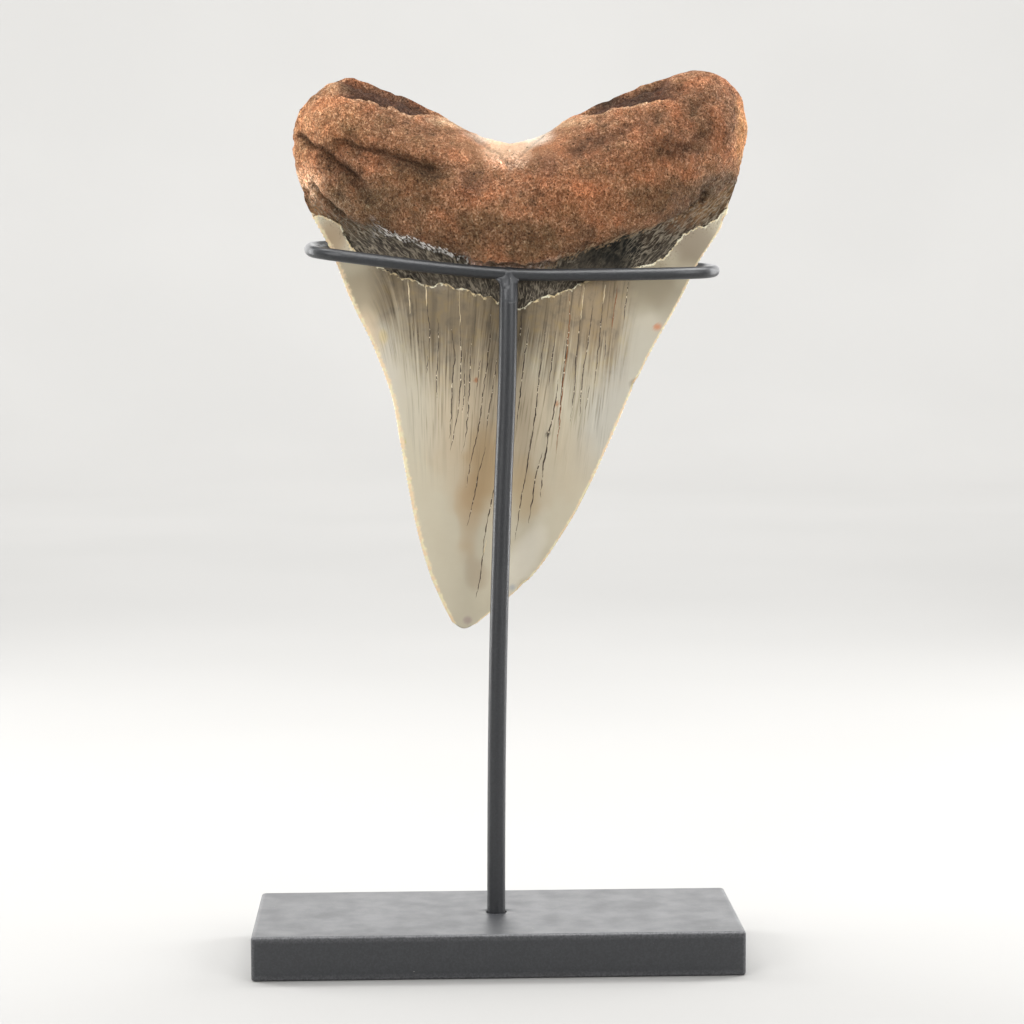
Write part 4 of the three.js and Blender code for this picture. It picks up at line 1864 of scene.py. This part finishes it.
    def _slivers(self, x: Array, z: Array, width: Array, taper: Array) -> Array:
        """Vertices of the slivers, four to a row.

        Args:
            x: centre lines.
            z: centre lines.
            width: of each row.
            taper: share of the thickness left at each row.

        Returns:
            The vertices.
        """
        tooth, form = self.tooth, self.tooth.form
        side = np.array([-0.5, 0, 0.5, 0])
        lift = np.array([-0.01, -self.proud, -0.01, self.sunk])
        x = (x[:, None] + side * width[:, None]).ravel()
        z = np.repeat(z, 4)
        u, v = form.locate(x, z)
        base = form.front(u, v)
        # A wide place on the front, halfway between two serrations, where they have no relief.
        width, row = np.full(len(x), 50.0), np.full(len(x), tooth.serration / 2)
        where = ToothPlaces(base, u, v, width, row, np.zeros(len(x), bool))
        y = base[:, 1] - tooth.relief(where) + (lift * taper[:, None]).ravel()
        return np.stack([x, y, z], -1) + np.array(tooth.tip)

    def dress(self, piece: Object) -> None:
        """Gives the veins their finish and their place in the frame.

        Args:
            piece: the veins.
        """
        piece.data.materials.append(VeinFilling().material())
        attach(piece, BODY)


# ---------------------------------------- the stand


@dataclass
class Stand:
    """Plate, bowed rod, ring and weld.

    Attributes:
        plate: width, depth and height.
        plate_edge: radius of the plate's edges.
        plate_corner: radius of its corners, seen from above.
        rod_radius: of the rod.
        seat: how deep the rod's foot goes into the plate.
        clearance: between rod and hole.
        weld: where the ring's wire crosses the rod's axis.
        weld_span: how far the weld reaches below and above that place.
        bow: centre line of the rod above the plate, as x and z.
        wire_radius: of the ring.
        route: centre line of the ring from the weld.
    """

    plate: Place = (110, 45, 10)
    plate_edge: float = 0.6
    plate_corner: float = 0.9
    rod_radius: float = 2.08
    seat: float = 7
    clearance: float = 0.3
    weld: Place = (3.45, 0.5, 156.1)
    weld_span: tuple[float, float] = (-6.6, 1.55)
    bow: Points = ((0.05, 22), (0.35, 50), (0.9, 76), (1.9, 105), (2.9, 128), (3.3, 143))
    wire_radius: float = 1.4
    route: Points = (
        (0, 0, 0), (8, 0, -0.3), (15.4, 0.2, -0.3), (29.5, 0.9, -0.2),
        (40.5, 2.2, 0), (45.2, 4.6, 0.2), (47.3, 8.6, 0.5), (47.6, 12.5, 0.7),
        (46.6, 17.2, 1.0), (43.4, 20.8, 1.3), (38, 22.4, 1.5),
        (21.5, 22.8, 2.0), (1.5, 22.9, 2.8), (-18.5, 22.8, 4.3), (-33.5, 22.3, 6.0),
        (-40.5, 21, 6.6), (-43.8, 17.8, 6.4), (-45, 14, 6.1), (-44.9, 10.5, 5.6),
        (-43.6, 6.4, 5.1), (-40, 3.6, 4.5),
        (-31.2, 1.8, 3.3), (-16.8, 0.6, 1.5), (-6.5, 0.1, 0.5),
    )

    def build_plate(self) -> Object:
        """The plate with a blind hole for the rod.

        Each angle carries a profile outwards from the hole's floor, up its wall, across the top,
        round the rounded edge and down to the middle of the underside. On the top a place is the
        blend, by its share s, of the hole's brim and the plate's outline, and at the edges inset
        and height follow a quarter circle. The wear falls with the second smallest of a place's
        distances to the three pairs of faces, which is its distance to the nearest edge.

        Returns:
            The plate.
        """
        width, depth, height = self.plate
        outline = self._rounded_rectangle(width, depth, self.plate_corner, 44)
        angle = np.arctan2(outline[:, 1], outline[:, 0])
        hole = (self.rod_radius + self.clearance) * np.stack([np.cos(angle), np.sin(angle)], -1)
        floor = height - self.seat - self.clearance
        brim = 1.04 * hole
        inner = outline * self._inset(4.0)
        r = self.plate_edge
        arc = [(r * (1 - math.cos(a)), r * math.sin(a)) for a in np.radians(np.linspace(0, 90, 6))]
        profile = [(0 * hole, floor), (0.96 * hole, floor), (hole, floor + 0.2), (hole, height - 0.15)]
        profile += [(brim, height)]
        profile += [(mix(brim, inner, s), height) for s in (0.05, 0.15, 0.3, 0.5, 0.7, 0.85, 0.93)]
        profile += [(outline * self._inset(inset), height) for inset in (4.0, 2.6, 1.6, 1.1)]
        profile += [(outline * self._inset(inset), height - r + up) for inset, up in arc[::-1]]
        profile += [(outline, z) for z in (height - 1.6, height / 2, 1.6)]
        profile += [(outline * self._inset(inset), r - down) for inset, down in arc]
        profile += [(outline * self._inset(inset), 0) for inset in (1.6, 6.0, 15.0)]
        profile += [(0 * outline, 0)]
        rows = [np.column_stack([shape, np.full(len(shape), z)]) for shape, z in profile]
        piece = make_object("plate", np.concatenate(rows), tube_faces(len(rows), len(outline))[:1])
        self._merge(piece)
        places = np.zeros(3 * len(piece.data.vertices), np.float32)
        piece.data.vertices.foreach_get("co", places)
        from_middle = np.abs(places.reshape(-1, 3) / MM - (0, 0, height / 2))
        second = np.sort(np.array([width, depth, height]) / 2 - from_middle, axis=1)[:, 1]
        add_values(piece, "wear", 0.8 * ease(second, 1.0, 0.3))
        return piece

    def _inset(self, inset: float) -> Array:
        """Scale that draws the plate's outline in by a distance on both axes."""
        width, depth, _ = self.plate
        return np.array([1 - 2 * inset / width, 1 - 2 * inset / depth])

    @staticmethod
    def _rounded_rectangle(width: float, depth: float, radius: float, steps: int) -> Array:
        """Outline of a rectangle with quarter circles at its corners, anticlockwise.

        Args:
            width: along x.
            depth: along y.
            radius: of the corners.
            steps: points along each side.

        Returns:
            x and y of each point.
        """
        turn = np.linspace(0, np.pi / 2, 7)
        parts = []
        for quarter in range(4):
            across, along = (width, depth) if quarter % 2 == 0 else (depth, width)
            corner = np.array([across / 2 - radius, along / 2 - radius])
            arc = corner + radius * np.stack([np.cos(turn), np.sin(turn)], -1)
            side = np.linspace(corner[0], -corner[0], steps)[1:-1]
            edge = np.stack([side, np.full(len(side), along / 2)], -1)
            c, s = round(math.cos(quarter * math.pi / 2)), round(math.sin(quarter * math.pi / 2))
            parts.append(np.concatenate([arc, edge]) @ np.array([[c, s], [-s, c]]))
        return np.concatenate(parts)

    @staticmethod
    def _merge(piece: Object) -> None:
        """Joins points that lie in one place, and drops faces that have shrunk to nothing.

        Args:
            piece: the piece, changed in place.
        """
        shape = bmesh.new()
        shape.from_mesh(piece.data)
        bmesh.ops.remove_doubles(shape, verts=shape.verts, dist=1e-6)
        bmesh.ops.dissolve_degenerate(shape, edges=shape.edges, dist=1e-7)
        shape.to_mesh(piece.data)
        shape.free()

    def build_rod(self) -> Object:
        """The rod: a circle carried up its bowed centre line, narrowing inside the weld.

        Returns:
            The rod.
        """
        height = self.plate[2]
        foot = (0, 0, height - self.seat)
        top = (self.weld[0], 0.35, self.weld[2] - 0.3)
        points = (foot, (0, 0, height), *((x, 0, z) for x, z in self.bow), top)
        path = spline(points, 260, closed=False)
        below = self.weld[2] - path[:, 2]
        radii = self.rod_radius * (1 - 0.45 * ease(below, 6.0, 2.0))
        return make_object("rod", *tube(path, radii, 40, (0, 1, 0), closed=False))

    def build_ring(self) -> Object:
        """The ring: a circle carried round its closed route.

        Returns:
            The ring.
        """
        path = spline(self.route, 560, closed=True) + np.array(self.weld)
        radii = np.full(len(path), self.wire_radius)
        return make_object("ring", *tube(path, radii, 24, (0, 0, 1), closed=True))

    def build_weld(self) -> Object:
        """The weld: a skirt from the rod's top that closes over the wire, with small lumps.

        Its half depth goes from the rod's to a little more than the wire's. Its half width gets a
        fillet below the wire that runs out along it. Above the wire's middle both are multiplied
        by √(1 − t²), with t the share of the height, so that it rounds over.

        Returns:
            The weld.
        """
        rows, columns = 48, 64
        s = np.linspace(0, 1, rows)[:, None]
        a = np.linspace(0, 2 * np.pi, columns, endpoint=False)[None, :]
        rise = mix(*self.weld_span, s)
        narrow = ease(rise, -6.0, -0.6)
        skin = self.rod_radius - 0.04 + 0.06 * ease(s, 0, 0.1)
        fillet = np.where(rise < -1.1, np.exp((rise + 1.1) / 0.5), bell(rise + 1.1, 0.7))
        half_width = skin * mix(1, 0.92, narrow) + 1.3 * fillet * np.cos(a) ** 2
        half_depth = mix(skin, self.wire_radius + 0.08, narrow)
        over = np.sqrt(1 - np.clip(rise / (self.weld_span[1] + 0.02), 0, 1) ** 2)
        x = self.weld[0] + half_width * np.cos(a) * over
        y = mix(0.12, self.weld[1], narrow) + half_depth * np.sin(a) * over
        points = np.stack([x, y, self.weld[2] + rise + 0 * a], -1).reshape(-1, 3)
        lumps = 0.16 * noise(points, 1.2, 101) + 0.07 * noise(points, 0.6, 102)
        points += lumps[:, None] * np.array([0.3, -0.8, 1.0]) * np.repeat(narrow, columns)[:, None]
        return make_object("weld", points, tube_faces(rows, columns))

    def build(self) -> dict[str, Object]:
        """Makes the stand's pieces, by name; only the plate is worn at its edges.

        Returns:
            The pieces.
        """
        plate = self.build_plate()
        others = {"rod": self.build_rod(), "ring": self.build_ring(), "weld": self.build_weld()}
        for piece in others.values():
            add_values(piece, "wear", np.zeros(len(piece.data.vertices)))
        return {"plate": plate, **others}

    def dress(self, pieces: dict[str, Object], effects: Effects) -> None:
        """Gives each piece its finish and its body.

        Args:
            pieces: the stand's pieces.
            effects: the shared node groups.
        """
        plate_coat = PowderCoat("black_plate_coat").material(effects)
        glossier = PowderCoat(
            "black_wire_coat", colour=(36, 37, 39), dust=0.02, grain=0.5, bump=0.1, roughness=0.38
        )
        wire_coat = glossier.material(effects)
        finishes = {
            "plate": (plate_coat, Slot.PLATE, "base"),
            "rod": (wire_coat, Slot.ROD, "post"),
            "ring": (wire_coat, Slot.WIRE, "ring"),
            "weld": (wire_coat, Slot.ROD, None),
        }
        for name, (coat, slot, node) in finishes.items():
            piece = pieces[name]
            piece.data.materials.append(coat)
            if node:
                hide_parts(node)
            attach(piece, BODY)


# ---------------------------------------- studio


class Reach(Enum):
    """Groups of pieces that a light can be kept to."""

    OBJECT = "pieces"
    FLOOR = "surroundings"
    STEEL = "steel"
    WELD = "weld"


@dataclass(frozen=True)
class Panel:
    """A soft rectangular light that the camera doesn't see.

    Attributes:
        name: its name.
        place: where it hangs, mm.
        aim: what it faces, mm.
        size: width and height, mm.
        power: in watts.
        reach: the only pieces that it lights, or None for all.
    """

    name: str
    place: Place
    aim: Place
    size: tuple[float, float]
    power: float
    reach: Reach | None = None

    def hang(self) -> Object:
        """Makes the light, with its own z axis away from what it faces.

        Returns:
            The light.
        """
        data = bpy.data.lights.new(self.name, "AREA")
        data.shape = "RECTANGLE"
        data.size, data.size_y = self.size[0] * MM, self.size[1] * MM
        data.energy = self.power
        back = np.array(self.place, float) - np.array(self.aim, float)
        back /= np.linalg.norm(back)
        across = np.cross([0, 0, 1.0], back)
        across /= np.linalg.norm(across)
        lamp = put_at(self.name, data, self.place, (across, np.cross(back, across), back))
        lamp.visible_camera = False
        return lamp


def put_at(name: str, data: bpy.types.ID, place: Place, axes: Sequence[Array]) -> Object:
    """Puts a camera or a light at a place, turned so that its own axes lie along the given ones.

    Args:
        name: the object's name.
        data: the camera or the light.
        place: where it stands, mm.
        axes: directions of its x, y and z.

    Returns:
        The linked object.
    """
    matrix = np.eye(4)
    matrix[:3, :3] = np.stack(axes, axis=1)
    matrix[:3, 3] = np.array(place) * MM
    thing = bpy.data.objects.new(name, data)
    bpy.context.scene.collection.objects.link(thing)
    thing.matrix_world = Matrix(matrix.tolist())
    return thing


@dataclass
class Studio:
    """Camera, floor and lights.

    The panel behind would burn out the floor in front of it, so it is kept to the object, and the
    wash to the wall. The strip draws the light bands along the steel, and a small light thrown
    back by the floor fills the weld from below.

    Attributes:
        eye: the camera's place, mm.
        turn: to the right, degrees.
        dip: downwards, degrees.
        roll: anticlockwise, degrees.
        lens: focal length for the sensor.
        sensor: width of the sensor, mm.
        sky: strength of the pale sky.
        panels: the lights.
    """

    eye: Place = (-17.2, -610.2, 151.7)
    turn: float = 1.99
    dip: float = 4.64
    roll: float = -0.24
    lens: float = 94.75
    sensor: float = 36
    sky: float = 0.2
    panels: tuple[Panel, ...] = (
        Panel("front_left", (-520, -620, 420), (0, 0, 130), (420, 520), 3.8),
        Panel("front_right", (560, -600, 380), (0, 0, 130), (420, 520), 3.5),
        Panel("top", (0, 60, 620), (0, 0, 100), (700, 220), 3.2),
        Panel("rim_left", (-520, 240, 240), (0, 0, 140), (220, 520), 3.3),
        Panel("rim_right", (520, 240, 240), (0, 0, 140), (220, 520), 3.3),
        Panel("behind", (0, 900, 330), (0, 0, 60), (1500, 560), 5.6, Reach.OBJECT),
        Panel("wall_wash", (0, 900, 1900), (0, 2200, 500), (2600, 900), 84.0, Reach.FLOOR),
        Panel("strip", (150, -170, 640), (0, 0, 130), (900, 300), 7.0, Reach.STEEL),
        Panel("bounce", (0, -60, 20), (0, -30, 200), (300, 120), 0.7, Reach.WELD),
    )

    def camera(self) -> None:
        """Places the camera and makes it the scene's."""
        yaw, pitch, roll = (math.radians(a) for a in (self.turn, self.dip, self.roll))
        ahead = np.array([
            math.sin(yaw) * math.cos(pitch), math.cos(yaw) * math.cos(pitch), -math.sin(pitch),
        ])
        right = np.array([math.cos(yaw), -math.sin(yaw), 0])
        up = np.cross(right, ahead)
        across = math.cos(roll) * right + math.sin(roll) * up
        up = -math.sin(roll) * right + math.cos(roll) * up
        data = bpy.data.cameras.new("camera")
        data.sensor_width = self.sensor
        data.lens = self.lens
        data.clip_start, data.clip_end = 0.01, 20
        bpy.context.scene.camera = put_at("camera", data, self.eye, (across, up, -ahead))

    def floor(self) -> Object:
        """A round floor whose border curves up into a low wall.

        A profile of radius and height, with a quarter circle between floor and wall, is turned
        about the upright axis.

        Returns:
            The floor.
        """
        bend = np.radians(np.linspace(0, 90, 17))
        radius = np.concatenate([[0.001, 300, 900, 1500], 1500 + 700 * np.sin(bend[1:]), [2200]])
        height = np.concatenate([[0, 0, 0, 0], 700 * (1 - np.cos(bend[1:])), [1500]])
        angle = np.linspace(0, 2 * np.pi, 96, endpoint=False)
        x = radius[:, None] * np.cos(angle)
        y = radius[:, None] * np.sin(angle)
        z = height[:, None] + 0 * angle
        points = np.stack([x, y, z], -1).reshape(-1, 3)
        piece = make_object("floor", points, [tube_faces(len(radius), len(angle))[0][:, ::-1]])
        piece.data.materials.append(PaleFloor().material())
        return piece

    def build(self, steel: list[Object], tooth: list[Object]) -> None:
        """Sets up the camera, the floor, the lights and the sky.

        Args:
            steel: the stand's pieces.
            tooth: the tooth's pieces.
        """
        self.camera()
        floor = self.floor()
        members = {
            Reach.OBJECT: [*steel, *tooth],
            Reach.FLOOR: [floor],
            Reach.STEEL: steel,
            Reach.WELD: [piece for piece in steel if piece.name == "weld"],
        }
        groups = {reach: bpy.data.collections.new(reach.value) for reach in Reach}
        for reach, pieces in members.items():
            for piece in pieces:
                groups[reach].objects.link(piece)
        for panel in self.panels:
            lamp = panel.hang()
            if panel.reach:
                lamp.light_linking.receiver_collection = groups[panel.reach]
        world = bpy.data.worlds.new("sky")
        world.use_nodes = True
        background = world.node_tree.nodes["Background"]
        background.inputs["Color"].default_value = (1, 1, 1, 1)
        background.inputs["Strength"].default_value = self.sky
        bpy.context.scene.world = world
        bpy.context.scene.view_settings.view_transform = "Standard"


# ---------------------------------------- all of it


def main() -> None:
    """Builds the studio, the stand and the tooth."""
    logging.basicConfig(level=logging.INFO, format="%(name)s %(message)s")
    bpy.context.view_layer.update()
    effects = Effects()

    stand = Stand()
    pieces = stand.build()
    stand.dress(pieces, effects)

    tooth = Tooth()
    crown = tooth.build()
    tooth.dress(crown, effects)

    veins = Veins(tooth)
    slivers = veins.build()
    veins.dress(slivers)

    for piece in (*pieces.values(), crown, slivers):
        log.info("%s: %d faces", piece.name, len(piece.data.polygons))
    Studio().build(list(pieces.values()), [crown, slivers])
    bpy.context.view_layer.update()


if __name__ == "__main__":
    main()
